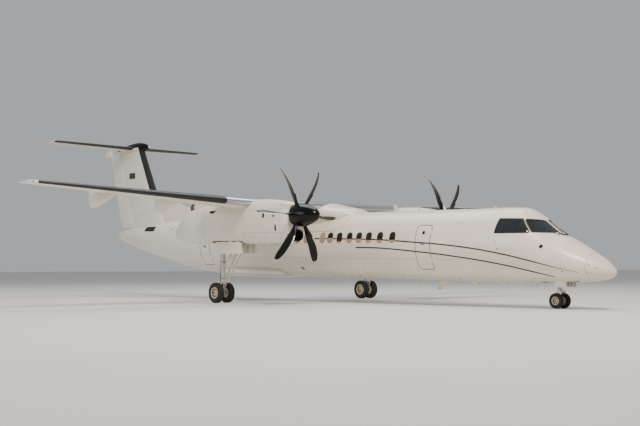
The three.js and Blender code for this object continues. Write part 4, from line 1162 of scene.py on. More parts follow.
@dataclass
class Livery:
    """Two thin bronze lines that sweep along each side."""

    upper: Sequence[Point2] = (
        (12.23, 2.76), (9.87, 2.70), (8.15, 2.60), (7.28, 2.55), (5.91, 2.43), (4.85, 2.30), (3.70, 2.10),
        (2.54, 1.84),
        (1.78, 1.67), (1.25, 1.55),
    )
    lower: Sequence[Point2] = (
        (10.50, 2.39), (9.28, 2.33), (8.21, 2.25), (7.22, 2.17), (6.16, 2.06), (4.94, 1.91), (4.00, 1.76),
        (3.11, 1.58), (2.20, 1.385),
    )
    width: float = 0.055
    upper_end: float = 14.2
    lower_end: float = 11.4
    window_clear: float = 0.17
    door: Point2 = (4.762, 5.538)
    point_from: float = 1.2  # a line narrows towards this station
    point_length: float = 1.8
    point_share: float = 0.3

    def path(self, rows: Sequence[Point2], end: float, flat: float) -> Callable[[float], float]:
        """Height of a line by station, level aft of its table."""
        ordered = sorted(rows)
        return Track([s for s, _ in ordered] + [end], [z for _, z in ordered] + [flat])

    def spans(self, start: float, stop: float, side: Side, through_windows: bool) -> list[Point2]:
        """Stretches of a line between windows and the doorway."""
        gaps = [(self.door[0], self.door[1])] if side is Side.PORT else []
        if through_windows:
            gaps += [(s - self.window_clear, s + self.window_clear) for s, _ in Fuselage().windows(side)]
        edges, here = [], start
        for low, high in sorted(gaps):
            if high < start or low > stop:
                continue
            if low > here:
                edges.append((here, low))
            here = max(here, high)
        if here < stop:
            edges.append((here, stop))
        return edges

    def strip(self, shape: Shape, side: Side, height: Callable[[float], float], span: Point2,
              proud: float) -> None:
        """One stretch of a line; it narrows to a point at the nose end."""
        place = BODY.on_side(side)
        stations = spaced(span[0], span[1], 0.12)
        rings = []
        for station in stations:
            z = height(station)
            taper = min(1.0, max(self.point_share, (station - self.point_from) / self.point_length))
            half = self.width / 2 * taper
            rings.append([place(station, z + half, proud), place(station, z - half, proud),
                          place(station, z - half, -0.004), place(station, z + half, -0.004)])
        shape.loft(rings, STRIPE_PAINT)

    def lines(self) -> list[tuple[Callable[[float], float], float, float, bool]]:
        """Height, first station, last station and whether windows break it, for both lines."""
        return [
            (self.path(self.upper, self.upper_end, 2.78), 1.25, self.upper_end, True),
            (self.path(self.lower, self.lower_end, 2.40), 2.20, self.lower_end, False),
        ]

    def build(self) -> None:
        """Builds the lines on both sides."""
        for side in Side:
            shape = Shape()
            for height, start, stop, broken in self.lines():
                for span in self.spans(start, stop, side, broken):
                    self.strip(shape, side, height, span, 0.0026)
            shape.finished(f"cheat_lines_{side.label}", "airframe", "white_paint")

    def over_airstair(self, shape: Shape) -> None:
        """The stretches that cross the airstair."""
        for height, _, _, _ in self.lines():
            self.strip(shape, Side.PORT, height, (self.door[0] + 0.012, self.door[1] - 0.012), 0.0012)


# Wing and tail surfaces


# Factors of the usual symmetrical aerofoil thickness: of the root of the share, and of its powers
THICKNESS_ROOT = 0.2969
THICKNESS = (-0.126, -0.3516, 0.2843, -0.1015)


@dataclass
class Section:
    """One aerofoil section, flat in y, or flat in z where it stands upright."""

    station: float
    y: float
    z: float
    chord: float
    thick: float
    hinge: float = 0.74
    upright: bool = False

    def half(self, share: float) -> float:
        """Half the thickness at a share of the chord."""
        root = THICKNESS_ROOT * math.sqrt(share) + sum(k * share**n for n, k in enumerate(THICKNESS, 1))
        return max(5 * self.thick * self.chord * root, 0.0002 if share <= 0 else 0.003)

    def point(self, share: float, face: float, offset: float = 0.0) -> Vector:
        """Point on the upper (1) or lower (-1) face, or to port and starboard where it is upright."""
        out = face * (self.half(share) + offset)
        along = self.station + share * self.chord
        return at(along, self.y + out, self.z) if self.upright else at(along, self.y, self.z + out)

    def fixed_end(self, gap: float = 0.016) -> float:
        """Share of the chord where the fixed part ends ahead of a hinged surface."""
        return self.hinge - (self.half(self.hinge) + gap) / self.chord

    def ring(self, stop: float) -> list[Vector]:
        """Ring of the part ahead of a share of the chord."""
        shares = list(FRONT_SHARES) + spaced(FRONT_SHARES[-1], stop, (stop - FRONT_SHARES[-1]) / 7)[1:]
        upper = [self.point(share, 1) for share in shares]
        lower = [self.point(share, -1) for share in reversed(shares[1:])]
        return upper + lower

    def rear_ring(self, round_nose: bool, start: float) -> list[Vector]:
        """Ring of a hinged surface behind a share of the chord."""
        radius = self.half(start)
        rows = [(start * self.chord, radius)]
        if round_nose:
            rows = [(start * self.chord + radius * math.cos(a), radius * math.sin(a))
                    for a in np.linspace(math.pi, math.pi / 2, 7)]
        rows += [(share * self.chord, self.half(share)) for share in spaced(start, 1.0, (1 - start) / 8)[1:]]
        ups = [(x, t) for x, t in rows]
        downs = [(x, -t) for x, t in reversed(rows if not round_nose else rows[1:])]
        points = []
        for x, out in ups + downs:
            along = self.station + x
            points.append(at(along, self.y + out, self.z) if self.upright
                          else at(along, self.y, self.z + out))
        return points


FRONT_SHARES = (0.0, 0.0015, 0.005, 0.011, 0.02, 0.032, 0.048, 0.07, 0.10, 0.14, 0.19, 0.25, 0.32, 0.40, 0.50)
BOOT_FACES = (10, 7)  # how many faces a wing boot covers above and below the edge
FIN_BOOT_FACES = (8, 8)
TAIL_BOOT_FACES = (8, 9)


def leading_paint(finish: Callable[[int], Finish], points: int,
                  faces: tuple[int, int] = BOOT_FACES) -> Callable[[int, int], Finish]:
    """Paint rule of a surface whose leading edge wears another finish on some stretches."""
    return lambda ring, j: finish(ring) if j < faces[0] or j >= points - faces[1] else WHITE_PAINT


@dataclass
class Wing:
    """The high wing with its flaps, ailerons, track fairings and the fairing over its root."""

    half_span: float = 14.21
    root_y: float = 5.0
    root: tuple[float, float, float] = (13.94, 2.75, 0.17)  # station, chord, thickness share
    tip: tuple[float, float, float] = (14.76, 1.25, 0.12)
    z: float = 4.195
    dihedral: float = math.tan(math.radians(2.5))
    flap_hinge: float = 0.74
    aileron_hinge: float = 0.76
    flaps: dict[str, Point2] = field(default_factory=lambda: {"inboard": (1.56, 3.70),
                                                              "outboard": (5.15, 11.0)})
    aileron: Point2 = (11.03, 13.65)
    swing_gap: float = 0.016
    boot: Point2 = (6.0, 13.9)
    track_fairings: Sequence[float] = (7.85, 10.70)
    tip_cap: Sequence[tuple[float, float, float, float]] = (
        # in from the tip, station offset, share of chord, share of thickness
        (0.26, 0.0, 1.0, 1.0), (0.19, 0.012, 0.99, 0.95), (0.13, 0.034, 0.96, 0.86),
        (0.08, 0.075, 0.92, 0.72),
        (0.04, 0.14, 0.85, 0.54), (0.012, 0.22, 0.76, 0.34), (0.0, 0.30, 0.66, 0.14),
    )

    def section(self, y: float) -> Section:
        """The wing's section at a distance from the middle."""
        share = max(0.0, (abs(y) - self.root_y) / (self.half_span - self.root_y))
        station, chord, thick = (a + (b - a) * share for a, b in zip(self.root, self.tip))
        z = self.z + max(0.0, abs(y) - self.root_y) * self.dihedral
        return Section(station, y, z, chord, thick, self.aileron_hinge)

    def on_face(self, face: float) -> Place:
        """Places points on the wing's upper or lower face by station, y and distance out."""

        def place(station: float, y: float, offset: float) -> Vector:
            section = self.section(y)
            share = min(max((station - section.station) / section.chord, 0.002), 1.0)
            return section.point(share, face, offset)

        return place

    def centre(self) -> Shape:
        """Middle of the wing between the two outer panels."""
        shape = Shape()
        ys = [-self.root_y + 0.0004] + spaced(-4.9, 4.9, 0.7) + [self.root_y - 0.0004]
        rings = [self.section(y).ring(self.flap_hinge) for y in ys]
        shape.loft(rings, WHITE_PAINT, paint=leading_paint(lambda i: BARE_METAL, len(rings[0])))
        for side in Side:
            for y in (1.5, 3.72):
                line = [(13.98 + 0.1 * k, side.value * y) for k in range(20)]
                shape.line(line, 0.006, self.on_face(1), 0.0008, JOINT_SHADE)
        return shape

    def outer(self) -> Shape:
        """Outer wing to port with its tip, jacking pad and the fixed halves of the track fairings."""
        low, high = self.aileron
        plan = [(y, self.flap_hinge) for y in [self.root_y] + spaced(5.3, 10.7, 0.6) + [low - 0.001]]
        ends = [low] + spaced(11.3, 13.3, 0.4) + [high]
        plan += [(y, self.section(y).fixed_end(self.swing_gap)) for y in ends]
        plan += [(high + 0.001, 1.0)]
        bounds = [y for y, _ in plan]
        for edge in self.boot:
            stop = self.flap_hinge if edge < low else 1.0
            if min(abs(edge - y) for y in bounds) > 0.01:
                plan.append((edge, stop))
        plan.sort()
        rings = [self.section(y).ring(stop) for y, stop in plan]
        for inboard, offset, chord_share, thick_share in self.tip_cap:
            base = self.section(self.half_span - inboard)
            cap = Section(base.station + offset, base.y, base.z, base.chord * chord_share,
                          base.thick * thick_share)
            rings.append(cap.ring(1.0))
        ys = [y for y, _ in plan]

        def edge_finish(ring: int) -> Finish:
            if ring >= len(ys):
                return WHITE_PAINT
            if self.boot[0] - 0.01 <= ys[ring] < self.boot[1] - 0.01:
                return BOOT_RUBBER
            return BARE_METAL if ys[ring] < self.boot[0] else WHITE_PAINT

        shape = Shape()
        shape.loft(rings, WHITE_PAINT, paint=leading_paint(edge_finish, len(rings[0])))
        pad = self.section(5.65)
        share = (14.8 - pad.station) / pad.chord
        skin_z = pad.point(share, -1).z
        shape.turned(JACK_PAD, at(14.8, 5.65, skin_z - 0.012), UP, STEEL)
        for y in self.track_fairings:
            self.fairing(shape, y, ahead=True)
        for face in (1, -1):
            place = self.on_face(face)
            for y in (6.2, 7.6, 9.1, 10.3, 11.8):
                section = self.section(y)
                line = [(section.station + section.chord * s, y) for s in np.linspace(0.075, 0.72, 10)]
                shape.line(line, 0.006, place, 0.0008, JOINT_SHADE)
        return self.wing_details(shape)

    def wing_details(self, shape: Shape) -> Shape:
        """Spoiler outline, fuel cap, tank covers and stall fence on an outer wing."""
        top, under = self.on_face(1), self.on_face(-1)
        fence = self.section(9.6)
        spoiler = [(self.section(y).station + self.section(y).chord * s, y)
                   for s, y in ((0.60, 5.4), (0.60, 7.4), (0.715, 7.4), (0.715, 5.4))]
        shape.band(grown(spoiler, 0.007), spoiler, top, 0.0009, 0.003, JOINT_SHADE)
        cap = rounded(rectangle(15.0, 9.92, 0.13, 0.13), 0.063, 6)
        shape.band(grown(cap, 0.008), cap, top, 0.002, 0.003, STEEL)
        for y in (6.6, 8.6, 9.9):
            section = self.section(y)
            cover = rounded(rectangle(section.station + section.chord * 0.38, y - 0.13, 0.42, 0.26), 0.125, 6)
            shape.band(grown(cover, 0.006), cover, under, 0.0009, 0.003, JOINT_SHADE)
        shape.loft(
            [[at(fence.station + fence.chord * s, y, fence.point(max(s, 0.003), 1, h).z) for s, h in
              ((0.0, 0.0), (0.02, 0.035), (0.16, 0.045), (0.30, 0.02), (0.30, -0.01), (0.0, -0.01))]
             for y in (9.598, 9.602)],
            WHITE_PAINT,
        )
        return shape

    def fairing(self, shape: Shape, y: float, ahead: bool) -> None:
        """Half of the canoe fairing over a flap track; it hangs below the wing."""
        section = self.section(y)
        start, length = section.station + 0.22, 2.07
        face = section.station + self.flap_hinge * section.chord
        rows = ((0, 0.008, 0.12), (0.2, 0.06, 0.30), (0.5, 0.095, 0.50), (0.75, 0.095, 0.63),
                (0.92, 0.06, 0.62),
                (1, 0.012, 0.46))
        half = Track([r[0] for r in rows], [r[1] for r in rows])
        depth = Track([r[0] for r in rows], [r[2] for r in rows])
        first, last = (start, face - 0.004) if ahead else (face + 0.004, start + length)
        rings = []
        for station in spaced(first, last, 0.06):
            share = (station - start) / length
            top, low = section.z + 0.012, section.z - depth(share)
            rings.append([
                at(station, y + half(share) * math.cos(a), (top + low) / 2 + (top - low) / 2 * math.sin(a))
                for a in np.linspace(0, 2 * math.pi, 28, endpoint=False)
            ])
        shape.loft(rings, WHITE_PAINT)
        if ahead:
            marker = at(start + 0.18 * length, y - half(0.18) * 0.9, section.z - 0.12)
            shape.rod(marker, marker + Vector((0, -0.01, 0)), 0.018, RUBBER_AND_PAINTED_SHADE)

    def flap(self, name: str) -> Shape:
        """One flap to port, shut against the wing."""
        shape = Shape()
        low, high = self.flaps[name]
        rings = [self.section(y).rear_ring(False, self.flap_hinge) for y in spaced(low, high, 0.5)]
        shape.loft([[point - Vector((0.0004, 0, 0)) for point in ring] for ring in rings], WHITE_PAINT)
        if name == "outboard":
            for y in self.track_fairings:
                self.fairing(shape, y, ahead=False)
        return shape

    def aileron_piece(self) -> Shape:
        """Aileron to port with its trim tab, hinge pins and static wicks."""
        shape = Shape()
        low, high = self.aileron[0] + self.swing_gap, self.aileron[1] - self.swing_gap
        rings = [self.section(y).rear_ring(True, self.aileron_hinge) for y in spaced(low, high, 0.4)]
        shape.loft(rings, WHITE_PAINT)
        for y, step in ((low, -1), (high, 1)):
            section = self.section(y)
            pin = at(section.station + section.hinge * section.chord, y, section.z)
            shape.rod(pin - Vector((0, step * 0.05, 0)), pin + Vector((0, step * 0.0151, 0)), 0.012, STEEL)
        for y in (12.2, 12.8, 13.4):
            tip = self.section(y).point(1.0, 1)
            shape.rod(tip, tip + Vector((-0.10, 0, 0)), 0.003, RUBBER_AND_PAINTED_SHADE, end_radius=0.0015, steps=6)
        tab = [(self.section(y).station + self.section(y).chord * s, y) for s, y in
               ((0.90, 11.3), (0.90, 12.3), (0.985, 12.3), (0.985, 11.3))]
        shape.band(grown(tab, 0.005), tab, self.on_face(1), 0.0009, 0.002, JOINT_SHADE)
        return shape

    def build(self) -> None:
        """Builds the wing."""
        self.centre().finished("wing_centre_skin", "airframe", "white_paint", ["wing_centre"])
        self.root_fairing().finished("wing_root_skin", "airframe", "white_paint", ["wing_root_fairing"])
        for side in Side:
            self.outer().finished("wing_outer_skin", "airframe", "white_paint",
                                  [f"wing_outer_{side.label}"], side)
            for name in self.flaps:
                self.flap(name).finished(f"flap_{name}_skin", "airframe", "white_paint",
                                         [f"flap_{name}_{side.label}"], side)
            self.aileron_piece().finished(
                "aileron_skin", f"aileron_{side.label}", "white_paint", [f"aileron_{side.label}"], side)
            self.tip_lamp(side)

    def tip_lamp(self, side: Side) -> None:
        """Navigation lamp in the leading corner of the tip."""
        shape = Shape()
        section = self.section(self.half_span - 0.13)
        front = section.point(0.0, 1) + Vector((-0.05, 0, 0))
        profile = [(0, -0.05), (0.028, -0.05), (0.03, 0.0), (0.024, 0.035), (0.012, 0.052), (0, 0.056)]
        shape.turned(profile, front, Vector((1, 0.55, 0)), RED_LENS if side is Side.PORT else GREEN_LENS)
        shape.finished("tip_lamp", "airframe", "dark_glass", side=side)

    def root_fairing(self) -> Shape:
        """Hump over the wing centre and the skirt that lies on the body."""
        hump = Shell(
            rows=((12.43, 0.5, 3.6, 3.89), (12.6, 0.7, 3.5, 4.05), (12.95, 0.95, 3.4, 4.13),
                  (13.6, 1.12, 3.3, 4.23),
                  (14.3, 1.2, 3.2, 4.38), (15.0, 1.23, 3.2, 4.45), (15.9, 1.23, 3.2, 4.44),
                  (16.8, 1.12, 3.3, 4.29),
                  (17.8, 0.8, 3.45, 4.02), (18.5, 0.3, 3.6, 3.85)),
            power=0.85,
        )
        shape = Shape()
        shape.loft([hump.ring(s, 96) for s in spaced(12.43, 18.5, 0.12)], WHITE_PAINT)
        flank = [(12.30, 3.78), (12.33, 3.50), (12.46, 3.27), (12.70, 3.13), (13.05, 3.08), (17.9, 3.08),
                 (18.4, 3.40)]
        left = [(s, math.degrees(BODY.angle_at(s, z))) for s, z in flank]
        right = [(s, 180 - a) for s, a in reversed(left)]
        outline = [(12.30, 90.0)] + left + [(18.6, 90.0)] + right
        dense = []
        for here, after in zip(outline, outline[1:] + outline[:1]):
            dense += [tuple(np.array(here) + (np.array(after) - np.array(here)) * k / 6) for k in range(6)]
        shape.panel(dense, BODY.round_about(), 0.028, 0.01, WHITE_PAINT, cell=(0.25, 4.0))
        for side in Side:
            shape.line([(12.95, 3.12), (12.97, 3.42)], 0.006, BODY.on_side(side), 0.0288, JOINT_SHADE,
                       depth=-0.02)
        return shape


@dataclass
class BellyFairing:
    """The flat-bottomed fairing under the middle of the body."""

    rows: Sequence[tuple[float, float, float, float]] = (
        (16.5, 0.72, 1.11, 1.32), (16.7, 0.96, 1.07, 1.45), (17.4, 1.06, 1.03, 1.48),
        (19.6, 1.06, 1.03, 1.48),
        (20.4, 1.04, 1.03, 1.45), (21.3, 0.70, 1.10, 1.40),
    )

    def build(self) -> None:
        """Builds the fairing."""
        shell = Shell(rows=self.rows, power=0.8)
        shape = Shape()
        shape.loft([shell.ring(s, 72) for s in spaced(16.5, 21.3, 0.12)], WHITE_PAINT)
        shape.finished("belly_fairing_skin", "airframe", "white_paint", ["belly_fairing"])


@dataclass
class Tail:
    """Fin with its dorsal fillet, rudder, bullet, tailplane and elevators."""

    fin_low: float = 3.35
    fin_high: float = 7.65
    fin_thick: float = 0.105
    rudder: Point2 = (3.485, 7.5945)
    rudder_chord: float = 1.15
    tail_tip: float = 33.03
    elevator: Point2 = (0.56, 4.30)
    square: tuple[float, float, float, float] = (29.95, 6.17, 0.62, 0.33)  # station, low, width, height
    bullet: Shell = field(default_factory=lambda: Shell(rows=(
        (28.56, 0.020, 7.835, 7.875), (28.74, 0.095, 7.735, 7.990), (29.2, 0.165, 7.640, 8.120),
        (29.7, 0.190, 7.590, 8.165), (30.4, 0.175, 7.590, 8.120), (31.0, 0.120, 7.600, 8.010),
        (31.5, 0.080, 7.620, 7.930), (31.75, 0.020, 7.740, 7.820)), blunt=True))

    def fin_section(self, z: float) -> Section:
        """The fin's section at a height."""
        leading = 27.81 + 0.537 * (z - 5.36)
        hinge = 29.96 + 0.3175 * (z - 3.3)
        chord = hinge + self.rudder_chord - leading
        return Section(leading, 0.0, z, chord, self.fin_thick, (hinge - leading) / chord, upright=True)

    def tailplane_section(self, y: float) -> Section:
        """The tailplane's section at a distance from the middle."""
        share = abs(y) / 4.635
        station, chord, thick = (a + (b - a) * share for a,
                                 b in zip((29.86, 2.11, 0.105), (30.29, 1.58, 0.09)))
        return Section(station, y, 7.87 + abs(y) * 0.016, chord, thick, (31.18 - station) / chord)

    def on_fin(self, side: Side) -> Place:
        """Places points on a side of the fin by station, height and distance out."""

        def place(station: float, z: float, offset: float) -> Vector:
            section = self.fin_section(z)
            share = min(max((station - section.station) / section.chord, 0.002), 1.0)
            return section.point(share, side.value, offset)

        return place

    def fin(self) -> Shape:
        """Fin, dorsal fillet and the plain dark square on each side."""
        zs = spaced(self.fin_low, self.fin_high, 0.2)
        rings = [self.fin_section(z).ring(self.fin_section(z).fixed_end()) for z in zs]
        shape = Shape()
        shape.loft(rings, WHITE_PAINT,
                   paint=leading_paint(lambda i: BOOT_RUBBER if zs[i] > 5.15 else WHITE_PAINT,
                                       len(rings[0]), FIN_BOOT_FACES))
        rows = []
        for station in spaced(22.6, 28.5, 0.35):
            share = (station - 22.6) / 5.9
            half, top = 0.007 + 0.088 * share, 3.90 + 1.50 * share
            rows.append([at(station, half * math.cos(a) * (1 if math.sin(a) > 0 else 1.25),
                            3.66 + (top - 3.66) * math.sin(a) if math.sin(a) > 0 else 3.66 + 0.26
                            * math.sin(a))
                         for a in np.linspace(0, 2 * math.pi, 24, endpoint=False)])
        shape.loft(rows, WHITE_PAINT)
        station, low, width, height = self.square
        for side in Side:
            place = self.on_fin(side)
            shape.panel(rounded(rectangle(station, low, width, height), 0.02, 3), place, 0.0012, 0.003,
                        SQUARE_PAINT)
            for z in (4.3, 5.2, 6.6):
                section = self.fin_section(z)
                line = [(section.station + section.chord * s, z)
                        for s in np.linspace(0.08, section.fixed_end() - 0.01, 8)]
                shape.line(line, 0.006, place, 0.0008, JOINT_SHADE)
        return shape

    def rudder_piece(self) -> Shape:
        """Rudder with its top horn, tab line and hinge pins."""
        low, high = self.rudder
        shape = Shape()
        sections = [self.fin_section(z) for z in spaced(low, high, 0.3)]
        shape.loft([section.rear_ring(True, section.hinge) for section in sections], WHITE_PAINT)
        outline = rounded([(32.36, 7.52), (32.90, 7.53), (self.tail_tip, 7.60), (self.tail_tip, 7.74),
                           (32.84, 7.86),
                           (32.36, 7.86)], 0.045, 5)
        horn = Shape()
        horn.prism(outline, (-0.045, 0.045), WHITE_PAINT)
        long_edges = [e for e in horn.bm.edges if abs(e.verts[0].co.y - e.verts[1].co.y) < 1e-4]
        bmesh.ops.bevel(horn.bm, geom=long_edges, offset=0.03, offset_type="OFFSET", affect="EDGES",
                        segments=4,
                        profile=0.5, material=-1)
        shape.absorb(horn.bm, WHITE_PAINT)
        for z, step, reach in ((low, -1, 0.0300), (high, 1, 0.0151)):
            section = self.fin_section(z)
            pin = at(section.station + section.hinge * section.chord, 0, z)
            shape.rod(pin - Vector((0, 0, step * 0.05)),
                      pin + Vector((-0.3175 * step * reach, 0, step * reach)), 0.012, STEEL)
        for side in Side:
            place = self.on_fin(side)
            line = [(self.fin_section(z).station + self.fin_section(z).chord * 0.93, z)
                    for z in spaced(3.8, 6.3, 0.5)]
            shape.line(line, 0.008, place, 0.0008, JOINT_SHADE)
        return shape

    def tailplane(self) -> Shape:
        """The fixed tailplane with its boots."""
        edge = self.elevator[1]
        ys = [-4.635, -4.625, -4.6, -4.55, -edge - 0.001,
              -edge] + spaced(-4.2, 4.2, 0.3) + [edge, edge + 0.001, 4.55, 4.6, 4.625, 4.635]
        rings = []
        for y in ys:
            section = self.tailplane_section(y)
            tip = max(0.0, abs(y) - 4.5) / 0.135
            ease = math.sqrt(max(1 - tip * tip, 0.02))
            section.thick *= ease
            if abs(y) > edge:
                section.station += (1 - ease) * 0.20
                section.chord *= 1 - (1 - ease) * 0.14
            rings.append(section.ring(section.fixed_end() if abs(y) <= edge else 1.0))
        shape = Shape()
        shape.loft(rings, WHITE_PAINT,
                   paint=leading_paint(lambda i: BOOT_RUBBER if abs(ys[i]) > 0.25 else WHITE_PAINT,
                                       len(rings[0]), TAIL_BOOT_FACES))
        return shape

    def elevator_piece(self) -> Shape:
        """Elevator to port with its pin and static wicks."""
        low, high = self.elevator[0], self.elevator[1] - 0.016
        shape = Shape()
        sections = [self.tailplane_section(y) for y in spaced(low, high, 0.3)]
        shape.loft([section.rear_ring(True, section.hinge) for section in sections], WHITE_PAINT)
        pin = at(31.18, high, self.tailplane_section(high).z)
        shape.rod(pin - Vector((0, 0.05, 0)), pin + Vector((0, 0.0151, 0)), 0.012, STEEL)
        for y in (2.6, 3.4, 4.1):
            tip = self.tailplane_section(y).point(1.0, 1)
            shape.rod(tip, tip + Vector((-0.10, 0, 0)), 0.003, RUBBER_AND_PAINTED_SHADE, end_radius=0.0015, steps=6)
        return shape

    def bullet_piece(self) -> Shape:
        """Bullet over the joint of fin and tailplane, its nose and top in black."""
        stations = [28.56 + root * root for root in np.linspace(0, math.sqrt(3.19), 34)]
        rings = [self.bullet.ring(s, 48) for s in stations]

        def colour(ring: int, j: int) -> Finish:
            if stations[ring] < 28.60:
                return BARE_METAL
            return SPINNER_BLACK if j < 24 or stations[ring] < 29.4 else WHITE_PAINT

        shape = Shape()
        shape.loft(rings, WHITE_PAINT, paint=colour)
        return shape

    def build(self) -> None:
        """Builds the tail."""
        self.fin().finished("fin_skin", "airframe", "white_paint", ["fin"])
        self.rudder_piece().finished("rudder_skin", "rudder", "white_paint", ["rudder"])
        self.bullet_piece().finished("tail_bullet_skin", "airframe", "white_paint", ["tail_bullet"])
        self.tailplane().finished("tailplane_skin", "airframe", "white_paint", ["tailplane"])
        for side in Side:
            self.elevator_piece().finished(
                "elevator_skin", f"elevator_{side.label}", "white_paint", [f"elevator_{side.label}"], side)


# Power


@dataclass
class Nacelle:
    """Engine housing with its wheel bay, chin intake and jet pipe."""

    shell: Shell = field(default_factory=lambda: Shell(rows=(
        (11.70, 0.430, 2.600, 4.090), (11.85, 0.480, 2.570, 4.140), (12.30, 0.540, 2.540, 4.230),
        (13.00, 0.575, 2.520, 4.300), (13.90, 0.585, 2.510, 4.330), (15.80, 0.585, 2.505, 4.330),
        (16.90, 0.575, 2.505, 4.230), (17.90, 0.540, 2.510, 4.050), (18.50, 0.470, 2.530, 3.950),
        (19.00, 0.350, 2.590, 3.680), (19.40, 0.220, 2.680, 3.380), (19.70, 0.090, 2.850, 3.120)),
        y=NACELLE_Y, power=0.72))
    exhaust: Shell = field(default_factory=lambda: Shell(rows=(
        (16.70, 0.090, 4.100, 4.270), (17.10, 0.200, 3.950, 4.340), (17.80, 0.235, 3.860, 4.360),
        (18.40, 0.225, 3.820, 4.300)), y=NACELLE_Y))
    lip: Shell = field(default_factory=lambda: Shell(rows=(
        (11.59, 0.33, 2.607, 3.083), (12.0, 0.33, 2.607, 3.083)), y=NACELLE_Y, power=0.85))
    wall: float = 0.045
    bare_from: float = 18.05
    bay: tuple[Point2, Point2, Point2] = ((14.5, 16.62), (-0.39, 0.39), (2.30, 3.25))

    def housing(self) -> Shape:
        """The nacelle's skin with the bay and the intake cut in."""
        shape = Shape()
        stations = [11.70, 11.72, 11.76] + spaced(11.82, 19.6, 0.12) + [19.65, 19.7]
        shape.loft([self.shell.ring(s, 96) for s in stations], WHITE_PAINT,
                   paint=lambda i, j: BOOT_RUBBER if stations[i] < 11.76 and 56 <= j < 88 else WHITE_PAINT)
        bay = Shape()
        (s0, s1), (y0, y1), (z0, z1) = self.bay
        bay.slab((s0, s1), (NACELLE_Y + y0, NACELLE_Y + y1), (z0, z1), BAY_PRIMER, ease=0.03)
        # The walls of the intake duct are drawn near black: painted shade inside the intake.
        duct = Shape()
        duct.loft([self.lip.ring(11.60, 56, self.wall), self.lip.ring(11.85, 56, self.wall)]
                  + [[point + Vector((-(0.2 + 0.2 * k), 0, 0.06 * k * k))
                      for point in self.lip.ring(11.85, 56, self.wall + 0.02 * k)]
                     for k in (1, 2)], SOOT_AND_PAINTED_SHADE)
        carve(shape, bay, duct)
        self.dress(shape)
        return shape

    def dress(self, shape: Shape) -> None:
        """Panel lines, latches, vents, drains and a small scoop on the housing."""
        around = self.shell.round_about()
        for station in (12.11, 13.14, 14.32, 17.0, 18.3):
            shape.line([(station, a)
                        for a in np.arange(-76 if station > 14.4 and station < 16.7 else -90, 271, 6.0)],
                       0.007, around, 0.0009, JOINT_SHADE, step=20)
        for side in Side:
            flank = self.shell.on_side(side)
            shape.line([(11.9, 2.95), (14.4, 2.95)], 0.006, flank, 0.0009, JOINT_SHADE)
            shape.line([(11.9, 3.88), (17.6, 3.80)], 0.006, flank, 0.0009, JOINT_SHADE)
            for opening in ((13.03, 3.53, 0.12, 0.25), (12.45, 3.56, 0.11, 0.10), (12.33, 3.00, 0.10, 0.27)):
                slot = rounded(rectangle(*opening), 0.045, 5)
                shape.band(grown(slot, 0.008), slot, flank, 0.003, 0.002, WHITE_PAINT)
                # The dark sheet in each slot is painted shade in the opening.
                shape.panel(slot, flank, 0.0012, 0.002, RUBBER_AND_PAINTED_SHADE)
            for station in (12.4, 12.9, 13.4, 13.9):
                latch = rounded(rectangle(station, 2.92, 0.07, 0.03), 0.012, 3)
                shape.panel(latch, flank, 0.003, 0.002, BARE_METAL)
            vent = rounded([(16.30, 3.78), (16.56, 3.78), (16.62, 3.90), (16.10, 3.90)], 0.02, 4)
            shape.band(grown(vent, 0.014), vent, flank, 0.006, 0.003, WHITE_PAINT)
            shape.panel(vent, flank, 0.0015, 0.003, SOOT_AND_PAINTED_SHADE)
        for station in (12.8, 13.6):
            shape.rod(at(station, NACELLE_Y, 2.53), at(station + 0.04, NACELLE_Y, 2.46), 0.011, STEEL,
                      steps=10)

    def intake(self) -> Shape:
        """Black lip round the chin intake."""
        steps = [(11.6996, 0.0), (11.66, 0.0), (11.625, 0.001), (11.612, 0.006), (11.603, 0.014),
                 (11.600, 0.0225),
                 (11.603, 0.031), (11.612, 0.039), (11.63, 0.044), (11.6996, self.wall)]
        shape = Shape()
        shape.loft([self.lip.ring(s, 56, inset) for s, inset in steps], BOOT_RUBBER, looped=True)
        return shape

    def pipe(self) -> Shape:
        """Jet pipe along the top of the nacelle, open aft."""
        stations = spaced(16.7, 18.4, 0.09)
        rings = [self.exhaust.ring(s, 40) for s in stations]
        rings.append(self.exhaust.ring(18.395, 40, 0.020))
        rings += [self.exhaust.ring(s, 40, 0.022 + max(0.0, (17.8 - s) * 0.07))
                  for s in (18.35, 18.15, 17.8, 17.5, 17.2)]
        shape = Shape()
        shape.loft(rings, HEAT_ALLOY, paint=lambda i, j: SOOT_AND_PAINTED_SHADE if i > len(stations) else
                   WHITE_PAINT if i < len(stations) and stations[i] < self.bare_from else HEAT_ALLOY)
        around = self.exhaust.round_about()
        for station in (17.3, 18.05):
            shape.line([(station, a) for a in np.arange(0, 361, 9.0)], 0.022, around, 0.004, STEEL, step=30)
        return shape

    def build(self) -> None:
        """Builds both nacelles."""
        for side in Side:
            self.housing().finished("nacelle_skin", "airframe", "white_paint", [f"nacelle_{side.label}"],
                                    side)
            self.intake().finished("intake_boot", "airframe", "black_boot", [f"intake_lip_{side.label}"],
                                   side)
            self.pipe().finished("jet_pipe", "airframe", "heat_steel", [f"exhaust_{side.label}"], side)
            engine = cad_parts[f"engine_{side.label}"]
            engine.data.materials.clear()
            engine.data.materials.append(CAST_ALLOY.material())


